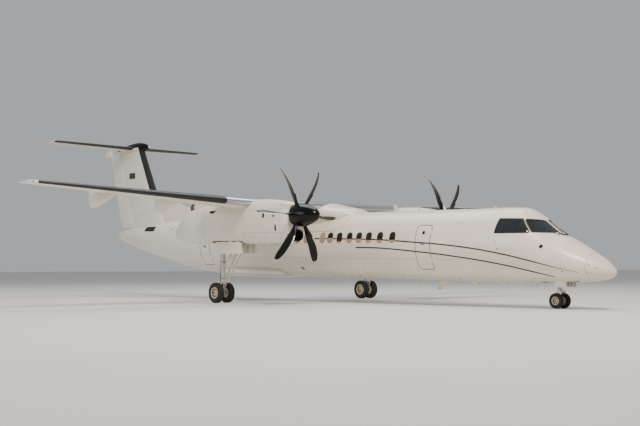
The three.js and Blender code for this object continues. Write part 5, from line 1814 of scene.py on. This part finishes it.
@dataclass
class Propeller:
    """Six feathered blades on a drum behind a long spinner."""

    station: float = 11.42
    z: float = 3.63
    phases: dict[Side, float] = field(default_factory=lambda: {Side.PORT: -3.6, Side.STARBOARD: -2.4})
    blades: int = 6
    rows: Sequence[tuple[float, float, float, float, float]] = (
        # distance from the axis, chord, thickness, sweep aft, twist from feather in degrees
        (0.30, 0.150, 0.140, 0.0, 0), (0.56, 0.190, 0.120, 0.0, -8), (0.85, 0.330, 0.062, -0.02, -10),
        (1.25, 0.400, 0.044, -0.03, -16), (1.65, 0.380, 0.032, 0.03, -23), (1.90, 0.300, 0.022, 0.11, -27),
        (2.04, 0.170, 0.014, 0.18, -29), (2.055, 0.060, 0.008, 0.22, -30),
    )
    spinner: Sequence[Point2] = (
        (0, 1.000), (0.085, 0.985), (0.190, 0.900), (0.295, 0.720), (0.372, 0.520), (0.420, 0.320),
        (0.440, 0.150),
    )
    guard: Point2 = (0.95, 2.02)  # stretch of the nickel edge, by distance from the axis
    section_points: int = 28

    def blade(self, turn: Matrix) -> Shape:
        """One blade turned about the shaft."""
        chord, thick, sweep, twist = (Track([r[0] for r in self.rows], [r[k] for r in self.rows])
                                      for k in (1, 2, 3, 4))
        radii = spaced(0.30, 1.98, 0.06) + [2.0, 2.02, 2.035, 2.045, 2.052, 2.055]
        rings = []
        for radius in radii:
            blunt = 1 if radius < 0.56 else max(0.35, 1 - (radius - 0.56) / 0.5)
            ring = []
            for i in range(self.section_points):
                angle = 2 * math.pi * i / self.section_points
                shape = abs(math.sin(angle)) ** (1 if blunt > 0.99
                                                 else 1.15) * math.copysign(1, math.sin(angle))
                taper = 1 - (1 - blunt) * 0.45 * (1 - math.cos(angle)) / 2
                point = Vector((chord(radius) / 2 * math.cos(angle), thick(radius) / 2 * shape * taper, 0))
                point = Matrix.Rotation(math.radians(twist(radius)), 3, "Z") @ point
                ring.append(turn @ (point + Vector((-sweep(radius), 0, radius))))
            rings.append(ring)
        low, high = self.guard

        def colour(ring: int, j: int) -> Finish:
            edge = j < 3 or j >= self.section_points - 3
            return NICKEL if edge and low <= radii[ring] <= high else BLADE_BLACK

        shape = Shape()
        return shape.loft(rings, BLADE_BLACK, paint=colour)

    def build(self) -> None:
        """Builds both propellers and spinners."""
        for side in Side:
            centre = at(self.station, side.value * NACELLE_Y, self.z)
            shape = Shape()
            ahead = Vector((1, 0, 0))
            shape.turned([(0, 0.1496), (0.440, 0.1496), (0.444, 0.13), (0.440, -0.205), (0.43, -0.235),
                          (0.40, -0.24), (0, -0.24)],
                         centre, ahead, SPINNER_BLACK, steps=64)
            shape.turned([(0, -0.2796), (0.11, -0.2796), (0.11, -0.2), (0, -0.2)], centre, ahead, STEEL,
                         steps=32)
            for i in range(self.blades):
                angle = math.radians(30 + 360 / self.blades * i + self.phases[side])
                turn = Matrix.Translation(centre) @ Matrix.Rotation(angle, 4, "X")
                blade = self.blade(turn)
                shape.absorb_shape(blade)
                cuff = Shape()
                cuff.turned([(0.085, 0), (0.115, 0), (0.115, 0.022), (0.105, 0.030), (0.085, 0.030),
                             (0.085, 0)],
                            Vector((0, 0, 0.426)), UP, RUBBER_AND_PAINTED_SHADE, steps=28)
                bmesh.ops.transform(cuff.bm, matrix=turn, verts=cuff.bm.verts[:])
                shape.absorb_shape(cuff)
            shape.finished(f"propeller_blades_{side.label}", f"propeller_{side.label}", "blade_composite",
                           [f"propeller_{side.label}"])
            nose = Shape()
            curve = Track([math.sqrt(1.0 - along) for _, along in self.spinner],
                          [radius for radius, _ in self.spinner])
            profile = [(curve(root), 1.0 - root * root) for root in np.linspace(0, math.sqrt(0.85), 40)]
            profile = [(0.0, 1.0)] + profile[1:] + [(0.434, 0.15), (0, 0.15)]
            nose.turned(profile, centre, ahead, SPINNER_BLACK, steps=72)
            nose.finished(f"spinner_shell_{side.label}", f"propeller_{side.label}", "black_boot",
                          [f"spinner_{side.label}"])


# Landing gear


@dataclass
class WheelSet:
    """A pair of tyred wheels on one turning axle."""

    radius: float
    width: float
    rim: float
    offset: float
    axle: float
    bolts: int

    def tyre(self, centre: Vector, grooves: Sequence[float]) -> Shape:
        """A tyre with straight grooves and a soft shoulder."""
        half, tread = self.width / 2, self.radius
        profile: list[Point2] = [(self.rim + 0.0006, half * 0.70), (self.rim + 0.006, half * 0.80),
                                 (self.rim + 0.020, half * 0.86)]
        for angle in np.linspace(-62, 70, 15):
            a = math.radians(angle)
            tall = (tread - self.rim) * 0.50
            profile.append((self.rim + (tread - self.rim) * 0.5 + tall * math.sin(a) * 0.985,
                            half * (0.42 + 0.58 * math.cos(a))))
        edges: list[Point2] = []
        for g in grooves:
            edges += [(g + 0.006, 0.0), (g + 0.0045, -0.009), (g - 0.0045, -0.009), (g - 0.006, 0.0)]
        crown = [(tread - 0.35 * y * y + drop, y) for y, drop in edges]
        profile += crown
        mirrored = [(r, -y) for r, y in reversed(profile[: len(profile) - len(crown)])]
        whole = profile + mirrored
        whole.append(whole[0])
        shape = Shape()
        return shape.turned(whole, centre, ACROSS, TYRE_RUBBER, steps=72)

    def rims(self, centre: Vector) -> Shape:
        """Both rims and the axle, with bolts, hand holes and hub caps; the outer ring of the hollow, the hub
        caps and the hand holes are drawn dark as painted shade.
        """
        shape = Shape()
        back, face = self.offset - self.width * 0.31, self.offset + self.width * 0.40
        r = self.rim
        for sign in (1, -1):
            toward = Vector((0, sign, 0))
            profile = [(0, back), (r * 0.98, back), (r, back + 0.006), (r, face - 0.016),
                       (r * 1.11, face - 0.008),
                       (r * 1.13, face + 0.002), (r * 1.08, face + 0.010), (r * 0.97, face + 0.002),
                       (r * 0.90, face),
                       (r * 0.87, face - 0.006), (r * 0.82, face - 0.024), (r * 0.70, face - 0.038),
                       (r * 0.60, face - 0.036), (r * 0.50, face - 0.018), (r * 0.42, face + 0.004),
                       (r * 0.36, face + 0.008),
                       (0, face + 0.008)]
            # The ring of the hollow from 0.66 to 0.86 of the rim radius is painted shade under the rim's lip.
            shape.turned(profile, centre, toward, WHEEL_ENAMEL, steps=64,
                         paint=lambda radius, _: WHEEL_SHADE if 0.66 * r < radius < 0.86 * r
                         else WHEEL_ENAMEL)
            # Hub cap in the same painted shade.
            shape.turned([(0, face + 0.007), (r * 0.25, face + 0.007), (r * 0.25, face + 0.010),
                          (r * 0.20, face + 0.012),
                          (0, face + 0.012)], centre, toward, WHEEL_SHADE, steps=28)
            for k in range(self.bolts):
                a = 2 * math.pi * k / self.bolts
                spot = centre + Vector((math.cos(a) * r * 0.77, 0, math.sin(a) * r * 0.77))
                shape.turned([(0, face - 0.036), (0.011, face - 0.036), (0.011, face - 0.018),
                              (0.008, face - 0.014),
                              (0, face - 0.014)], spot, toward, STEEL, steps=6)
                b = a + math.pi / self.bolts
                hole = centre + Vector((math.cos(b) * r * 0.54, 0, math.sin(b) * r * 0.54))
                # Each hand hole is a near-black plug: painted shade in the opening.
                shape.turned([(0, face - 0.040), (r * 0.085, face - 0.040), (r * 0.085, face - 0.020),
                              (0, face - 0.020)],
                             hole, toward, RUBBER_AND_PAINTED_SHADE, steps=12)
        shape.turned([(0, -back), (self.axle, -back), (self.axle, back), (0, back)], centre, ACROSS, STEEL,
                     steps=32)
        return shape


@dataclass
class MainGear:
    """Main legs, braces and doors under the nacelles, with their twin wheels."""

    station: float = 16.39
    wheels: WheelSet = field(default_factory=lambda: WheelSet(0.432, 0.262, 0.215, 0.290, 0.062, 9))
    doors: dict[str, float] = field(default_factory=lambda: {"outer": 0.396, "inner": -0.418})

    def leg(self) -> Shape:
        """Leg to port with its piston, braces, torque links, boss and hoses."""
        y, s = NACELLE_Y, self.station
        shape = Shape()
        radius = self.wheels.radius
        cylinder = [(0, 0.83), (0.080, 0.83), (0.092, 0.842), (0.092, 0.92), (0.084, 0.93), (0.084, 1.42),
                    (0.092, 1.44),
                    (0.092, 1.60), (0.084, 1.62), (0.084, 2.30), (0.092, 2.33), (0.092, 3.2496), (0, 3.2496)]
        shape.turned(cylinder, at(s - 0.10, y, 0), UP, LEG_ENAMEL, steps=32)
        shape.rod(at(s, y, radius), at(s - 0.10, y, 0.86), 0.066, CHROME, steps=32)
        hub = [(0.0635, -0.10), (0.092, -0.10), (0.098, -0.094), (0.098, 0.094), (0.092, 0.10),
               (0.0635, 0.10), (0.0635, -0.10)]
        shape.turned(hub, at(s, y, radius), ACROSS, LEG_ENAMEL, steps=32)
        for s0, z0, s1, z1, r in ((16.22, 0.90, 14.70, 3.20, 0.042), (16.00, 0.90, 14.74, 2.58, 0.034),
                                  (16.27, 1.50, 15.45, 2.50, 0.030),
                                  (15.45, 2.50, 15.65, 3.20, 0.030), (16.24, 1.02, 15.98, 0.90, 0.030),
                                  (15.34, 2.12, 15.82, 1.90, 0.020)):
            shape.rod(at(s0, y, z0), at(s1, y, z1), r, LEG_ENAMEL, steps=20)
        for s0, z0 in ((16.22, 0.90), (16.00, 0.90), (15.45, 2.50)):
            shape.rod(at(s0, y - 0.05, z0), at(s0, y + 0.05, z0), 0.045, LEG_ENAMEL, steps=20)
        for s0, z0, s1, z1 in ((16.29, 0.98, 16.10, 0.76), (16.10, 0.76, 16.36, 0.54)):
            for across in (-0.027, 0.027):
                shape.rod(at(s0, y + across, z0), at(s1, y + across, z1), 0.020, LEG_ENAMEL, steps=12)
        shape.rod(at(16.10, y - 0.04, 0.76), at(16.10, y + 0.04, 0.76), 0.024, STEEL, steps=16)
        for across in (-0.075, 0.075):
            path = [at(s - 0.01, y + across * k, z) for k,
                    z in ((1, 2.4), (1, 1.9), (1.1, 1.4), (1, 0.95), (1.4, 0.75), (1.0, 0.50))]
            smooth = [path[i].lerp(path[i + 1], t) for i in range(5) for t in (0.0, 0.5)] + [path[-1]]
            shape.tube(smooth, 0.011, HOSE_RUBBER)
        for z in (1.05, 1.75, 2.2):
            shape.turned([(0.084, -0.018), (0.104, -0.018), (0.104, 0.018), (0.084, 0.018), (0.084, -0.018)],
                         at(s - 0.10, y, z), UP, STEEL, steps=28)
        return shape

    def door(self, offset: float) -> Shape:
        """One open bay door to port, its top inside the nacelle's skin."""
        low = NACELLE_Y + offset
        outline = rounded([(14.5, 2.11), (16.23, 2.09), (16.36, 2.58), (14.62, 2.58)], 0.05, 5)
        inner = -1 if offset > 0 else 1
        face = low + 0.011 + inner * 0.0115
        shape = Shape()
        shape.prism(outline, (low, low + 0.022), WHITE_PAINT)
        for station in (14.75, 15.15, 15.55, 15.95):
            shape.slab((station - 0.014, station + 0.014), (face - 0.004, face + 0.004), (2.13, 2.50),
                       BAY_PRIMER, ease=0.002)
        return shape

    def build(self) -> None:
        """Builds both main gears."""
        for side in Side:
            self.leg().finished("main_leg", "airframe", "leg_paint", [f"main_gear_leg_{side.label}"], side)
            for name, offset in self.doors.items():
                self.door(offset).finished(
                    f"main_door_{name}", "airframe", "white_paint", [f"main_gear_door_{name}_{side.label}"],
                    side)
            centre = at(self.station, NACELLE_Y, self.wheels.radius)
            body = f"main_wheels_{side.label}"
            self.wheels.rims(centre).finished("main_rims", body, "cast_alloy", [body], side)
            for name, step in (("outer", 1), ("inner", -1)):
                middle = centre + Vector((0, step * self.wheels.offset, 0))
                self.wheels.tyre(middle, (0.075, 0.026, -0.026, -0.075)).finished(
                    f"main_tyre_{name}_rubber", body, "tyre_rubber", [f"main_tyre_{name}_{side.label}"], side)


@dataclass
class NoseGear:
    """Steered nose leg with its doors, lamp and twin wheels."""

    station: float = 2.45
    wheels: WheelSet = field(default_factory=lambda: WheelSet(0.279, 0.165, 0.135, 0.232, 0.042, 7))

    @property
    def axle_z(self) -> float:
        """Height of the axle in the level airframe."""
        return (MainGear().station - self.station) * math.tan(ATTITUDE) + self.wheels.radius

    def build(self) -> None:
        """Builds the nose gear."""
        s = self.station
        fixed = Shape()
        fixed.turned([(0, 0.96), (0.066, 0.96), (0.072, 0.968), (0.072, 1.08), (0.064, 1.10), (0.064, 1.50),
                      (0.072, 1.52),
                      (0.072, 1.8996), (0, 1.8996)], at(s, 0, 0), UP, LEG_ENAMEL, steps=32)
        fixed.rod(at(s, 0, 1.12), at(s + 0.50, 0, 1.86), 0.034, LEG_ENAMEL, steps=20)
        fixed.slab((s - 0.10, s + 0.10), (-0.16, 0.16), (1.16, 1.22), LEG_ENAMEL, ease=0.02)
        for y in (-0.14, 0.14):
            fixed.rod(at(s - 0.02, y, 1.19), at(s - 0.02, y, 1.62), 0.024, LEG_ENAMEL, steps=16)
        fixed.finished("nose_leg_upper", "airframe", "leg_paint", ["nose_gear_leg"])
        turning = Shape()
        axle = at(s, 0, self.axle_z)
        turning.turned([(0, axle.z), (0.050, axle.z), (0.050, 0.9), (0, 0.9)], at(s, 0, 0), UP, CHROME,
                       steps=28)
        turning.turned([(0, 0.89), (0.078, 0.89), (0.084, 0.896), (0.084, 0.955), (0.078, 0.9596),
                        (0, 0.9596)],
                       at(s, 0, 0), UP, LEG_ENAMEL, steps=32)
        turning.turned([(0.0435, -0.09), (0.070, -0.09), (0.074, -0.086), (0.074, 0.086), (0.070, 0.09),
                        (0.0435, 0.09),
                        (0.0435, -0.09)], axle, ACROSS, LEG_ENAMEL, steps=32)
        knee = at(s + 0.19, 0, 0.73)
        turning.rod(at(s + 0.04, 0, 0.90), knee, 0.020, LEG_ENAMEL, steps=14)
        turning.rod(knee, axle + Vector((-0.05, 0, 0.02)), 0.020, LEG_ENAMEL, steps=14)
        turning.rod(knee - Vector((0, 0.035, 0)), knee + Vector((0, 0.035, 0)), 0.024, STEEL, steps=16)
        turning.slab((s - 0.15, s - 0.06), (-0.055, 0.055), (0.80, 0.90), LEG_ENAMEL, ease=0.012)
        turning.turned([(0, 0), (0.055, 0), (0.060, 0.05), (0.056, 0.05), (0.02, 0.012), (0, 0.012)],
                       at(s - 0.15, 0, 0.85), Vector((1, 0, -0.05)), LAMP_BOWL, steps=32)
        turning.turned([(0, 0.045), (0.056, 0.042), (0.058, 0.050), (0.03, 0.062), (0, 0.066)],
                       at(s - 0.15, 0, 0.85), Vector((1, 0, -0.05)), CLEAR_LENS, steps=32)
        turning.finished("nose_leg_lower", "nose_steering", "leg_paint", ["nose_gear_steering"])
        self.wheels.rims(axle).finished("nose_rims", "nose_wheels", "cast_alloy", ["nose_wheels"])
        for side in Side:
            middle = axle + Vector((0, side.value * self.wheels.offset, 0))
            self.wheels.tyre(middle, (0.035, -0.035)).finished(
                f"nose_tyre_rubber_{side.label}", "nose_wheels", "tyre_rubber", [f"nose_tyre_{side.label}"])
            self.door().finished("nose_door", "airframe", "white_paint", [f"nose_gear_door_{side.label}"],
                                 side)

    def door(self) -> Shape:
        """One open nose door to port, hung from the edge of the bay."""
        outline = rounded([(1.94, 1.010), (2.49, 1.010), (2.38, 1.25), (2.04, 1.25)], 0.03, 4)
        shape = Shape()
        shape.prism(outline, (0.306, 0.326), WHITE_PAINT)
        for station in (2.02, 2.16, 2.30):
            shape.slab((station - 0.012, station + 0.012), (0.300, 0.308), (1.04, 1.20), BAY_PRIMER,
                       ease=0.002)
        return shape


# Small fittings


@dataclass
class Fittings:
    """Antennas, beacons, probes, drains and vents along the body."""

    top_blades: Sequence[tuple[float, float, float]] = (
        # station, length, height
        (10.14, 0.33, 0.285), (9.00, 0.16, 0.16), (7.68, 0.16, 0.16),
    )
    bottom_blades: Sequence[tuple[float, float, float]] = (
        (13.68, 0.33, 0.295), (13.44, 0.10, 0.12), (12.22, 0.10, 0.12), (8.75, 0.14, 0.16),
        (7.61, 0.42, 0.385),
    )
    boxes: Sequence[tuple[float, float, float]] = (
        # first and last station, depth
        (3.41, 3.69, 0.13), (4.76, 5.08, 0.10), (6.03, 6.33, 0.11), (12.62, 13.18, 0.06),
    )

    def blade(self, shape: Shape, station: float, length: float, height: float, up: int) -> None:
        """A swept blade antenna on the top or bottom of the body."""
        foot = BODY.at_angle(station, up * math.pi / 2)
        rings = []
        for share in (-0.1, 0.0, 0.4, 0.8, 0.95, 1.0):
            chord = length * (1 - 0.45 * max(share, 0)) * (1 if share < 0.96 else 0.85)
            shift = length * 0.75 * max(share, 0)
            thick = 0.014 * (1 - 0.5 * max(share, 0))
            rings.append([
                foot + Vector((-shift - chord / 2 * (1 - math.cos(a)), thick * math.sin(a),
                               up * share * height))
                for a in np.linspace(0, 2 * math.pi, 16, endpoint=False)
            ])
        shape.loft(rings, SATIN_PAINT)

    def build(self) -> None:
        """Builds the small fittings."""
        shape = Shape()
        for station, length, height in self.top_blades:
            self.blade(shape, station, length, height, 1)
        for station, length, height in self.bottom_blades:
            self.blade(shape, station, length, height, -1)
        for first, last, depth in self.boxes:
            low = BODY.at_angle((first + last) / 2, -math.pi / 2).z
            shape.slab((first, last), (-0.055, 0.055), (low - depth, low + 0.03), SATIN_PAINT, ease=0.04,
                       segments=5)
        shape.finished("antennas", "airframe", "white_paint")
        lamps = Shape()
        dome = [(0, 0.075), (0.05, 0.072), (0.08, 0.058), (0.096, 0.03), (0.10, 0.0), (0.10, -0.02),
                (0, -0.02)]
        foot = BODY.at_angle(5.31, math.pi / 2)
        lamps.turned(dome[::-1], foot, UP, CLEAR_LENS, steps=28)
        lamps.turned([(0, -0.03), (0.115, -0.03), (0.115, 0.0), (0.105, 0.012), (0, 0.012)], foot, UP,
                     STEEL, steps=28)
        lamps.finished("beacon", "airframe", "dark_glass")
        probes = Shape()
        for side in Side:
            flank = BODY.on_side(side)
            root, out = flank(2.54, 2.45, -0.01), flank(2.54, 2.45, 0.07)
            probes.tube([root, out, out + Vector((0.03, 0, 0)), out + Vector((0.12, 0, 0))], 0.013,
                        RUBBER_AND_PAINTED_SHADE)
            probes.panel(rounded(rectangle(2.54, 2.385, 0.13, 0.13), 0.062, 6), flank, 0.006, 0.002,
                         RUBBER_AND_PAINTED_SHADE)
            probes.panel(rounded(rectangle(1.77, 1.56, 0.045, 0.045), 0.021, 5), flank, 0.003, 0.002,
                         RUBBER_AND_PAINTED_SHADE)
            probes.panel(rounded(((26.84, 3.23), (27.90, 3.24), (28.06, 3.49), (26.90, 3.49)), 0.02, 4),
                         flank, 0.004, 0.003, SOOT_AND_PAINTED_SHADE)
            probes.line([(26.80, 3.24), (26.87, 3.49)], 0.05, flank, 0.012, BARE_METAL)
            probes.line([(25.12, 3.28), (24.75, 3.49)], 0.04, flank, 0.006, BARE_METAL)
            for station, z in ((4.35, 2.62), (4.23, 2.35)):
                probes.panel(rounded(rectangle(station, z - 0.025, 0.05, 0.05), 0.024, 5), flank, 0.002,
                             0.002, RUBBER_AND_PAINTED_SHADE)
            drain = rounded(rectangle(15.07, 1.42, 0.13, 0.13), 0.062, 5)
            probes.band(grown(drain, 0.012), drain, flank, 0.003, 0.002, STEEL)
            # The dark sheet in the drain is painted shade in the opening.
            probes.panel(drain, flank, 0.001, 0.002, RUBBER_AND_PAINTED_SHADE)
        probes.finished("probes", "airframe", "leg_paint")


# Stage


@dataclass
class Studio:
    """Pale flat floor, soft lights and the camera."""

    camera_at: tuple[float, float, float] = (35.138, -31.601, 1.480)
    yaw: float = 0.815
    pitch: float = 0.053
    roll: float = -0.003
    lens: float = 58.06
    floor_radius: float = 450.0

    def floor(self) -> None:
        """A wide flat floor, low all round so that it hides the aircraft from no side."""
        bm = bmesh.new()
        bmesh.ops.create_circle(bm, cap_ends=True, segments=96, radius=self.floor_radius,
                                matrix=Matrix.Translation((0, 0, -0.0005)))
        mesh = bpy.data.meshes.new("studio_floor")
        bm.to_mesh(mesh)
        bm.free()
        mesh.materials.append(FLOOR_PAINT.material())
        floor = bpy.data.objects.new("studio_floor", mesh)
        bpy.context.scene.collection.objects.link(floor)

    def light(self, name: str, where: tuple, size: float, power: float, colour: str) -> None:
        """A round soft light that faces the middle of the aircraft."""
        lamp = bpy.data.lights.new(name, "AREA")
        lamp.shape, lamp.size, lamp.energy = "DISK", size, power
        lamp.color = linear(colour)[:3]
        holder = bpy.data.objects.new(name, lamp)
        holder.location = where
        holder.rotation_euler = (Vector((0, 0, 2)) - Vector(where)).to_track_quat("-Z", "Y").to_euler()
        bpy.context.scene.collection.objects.link(holder)

    def camera(self) -> None:
        """Camera at the photograph's place and angle."""
        lens = bpy.data.cameras.new("camera")
        lens.lens, lens.sensor_width, lens.clip_end = self.lens, 36.0, 600.0
        a, e, r = self.yaw, self.pitch, self.roll
        forward = Vector((-math.sin(a) * math.cos(e), math.cos(a) * math.cos(e), math.sin(e)))
        right = Vector((math.cos(a), math.sin(a), 0))
        up = right.cross(forward)
        across = right * math.cos(r) + up * math.sin(r)
        upward = up * math.cos(r) - right * math.sin(r)
        rows = Matrix((across, upward, -forward)).transposed()
        holder = bpy.data.objects.new("camera", lens)
        holder.matrix_world = Matrix.Translation(self.camera_at) @ rows.to_4x4()
        bpy.context.scene.collection.objects.link(holder)
        bpy.context.scene.camera = holder

    def build(self) -> None:
        """Builds the stage."""
        self.floor()
        self.camera()
        world = bpy.data.worlds.new("soft_sky")
        world.use_nodes = True
        background = world.node_tree.nodes["Background"]
        background.inputs["Color"].default_value = linear("f1f3f6")
        background.inputs["Strength"].default_value = 0.50
        bpy.context.scene.world = world
        self.light("key", (26, -16, 34), 16, 17000, "fff3e2")
        self.light("fill", (-14, -46, 14), 22, 3600, "eef3ff")
        self.light("top", (-10, 10, 40), 34, 10000, "ffffff")


def main() -> None:
    """Builds every sub-assembly in order."""
    logging.basicConfig(level=logging.INFO, format="%(message)s")
    fixed_doors = [
        Door("baggage_door_forward", Side.STARBOARD, 7.77, 1.56, 0.75, 1.69),
        Door("service_door_aft", Side.STARBOARD, 21.70, 1.56, 0.78, 1.50),
        Door("passenger_door_aft", Side.PORT, 21.70, 1.60, 0.76, 1.64),
    ]
    assemblies = [
        Studio(), Fuselage(), *fixed_doors, Airstair(), Livery(), BellyFairing(), Wing(), Nacelle(),
        Propeller(), Tail(),
        MainGear(), NoseGear(), Fittings(),
    ]
    for assembly in assemblies:
        assembly.build()
        log.info("%s is built", type(assembly).__name__)


if __name__ == "__main__":
    main()
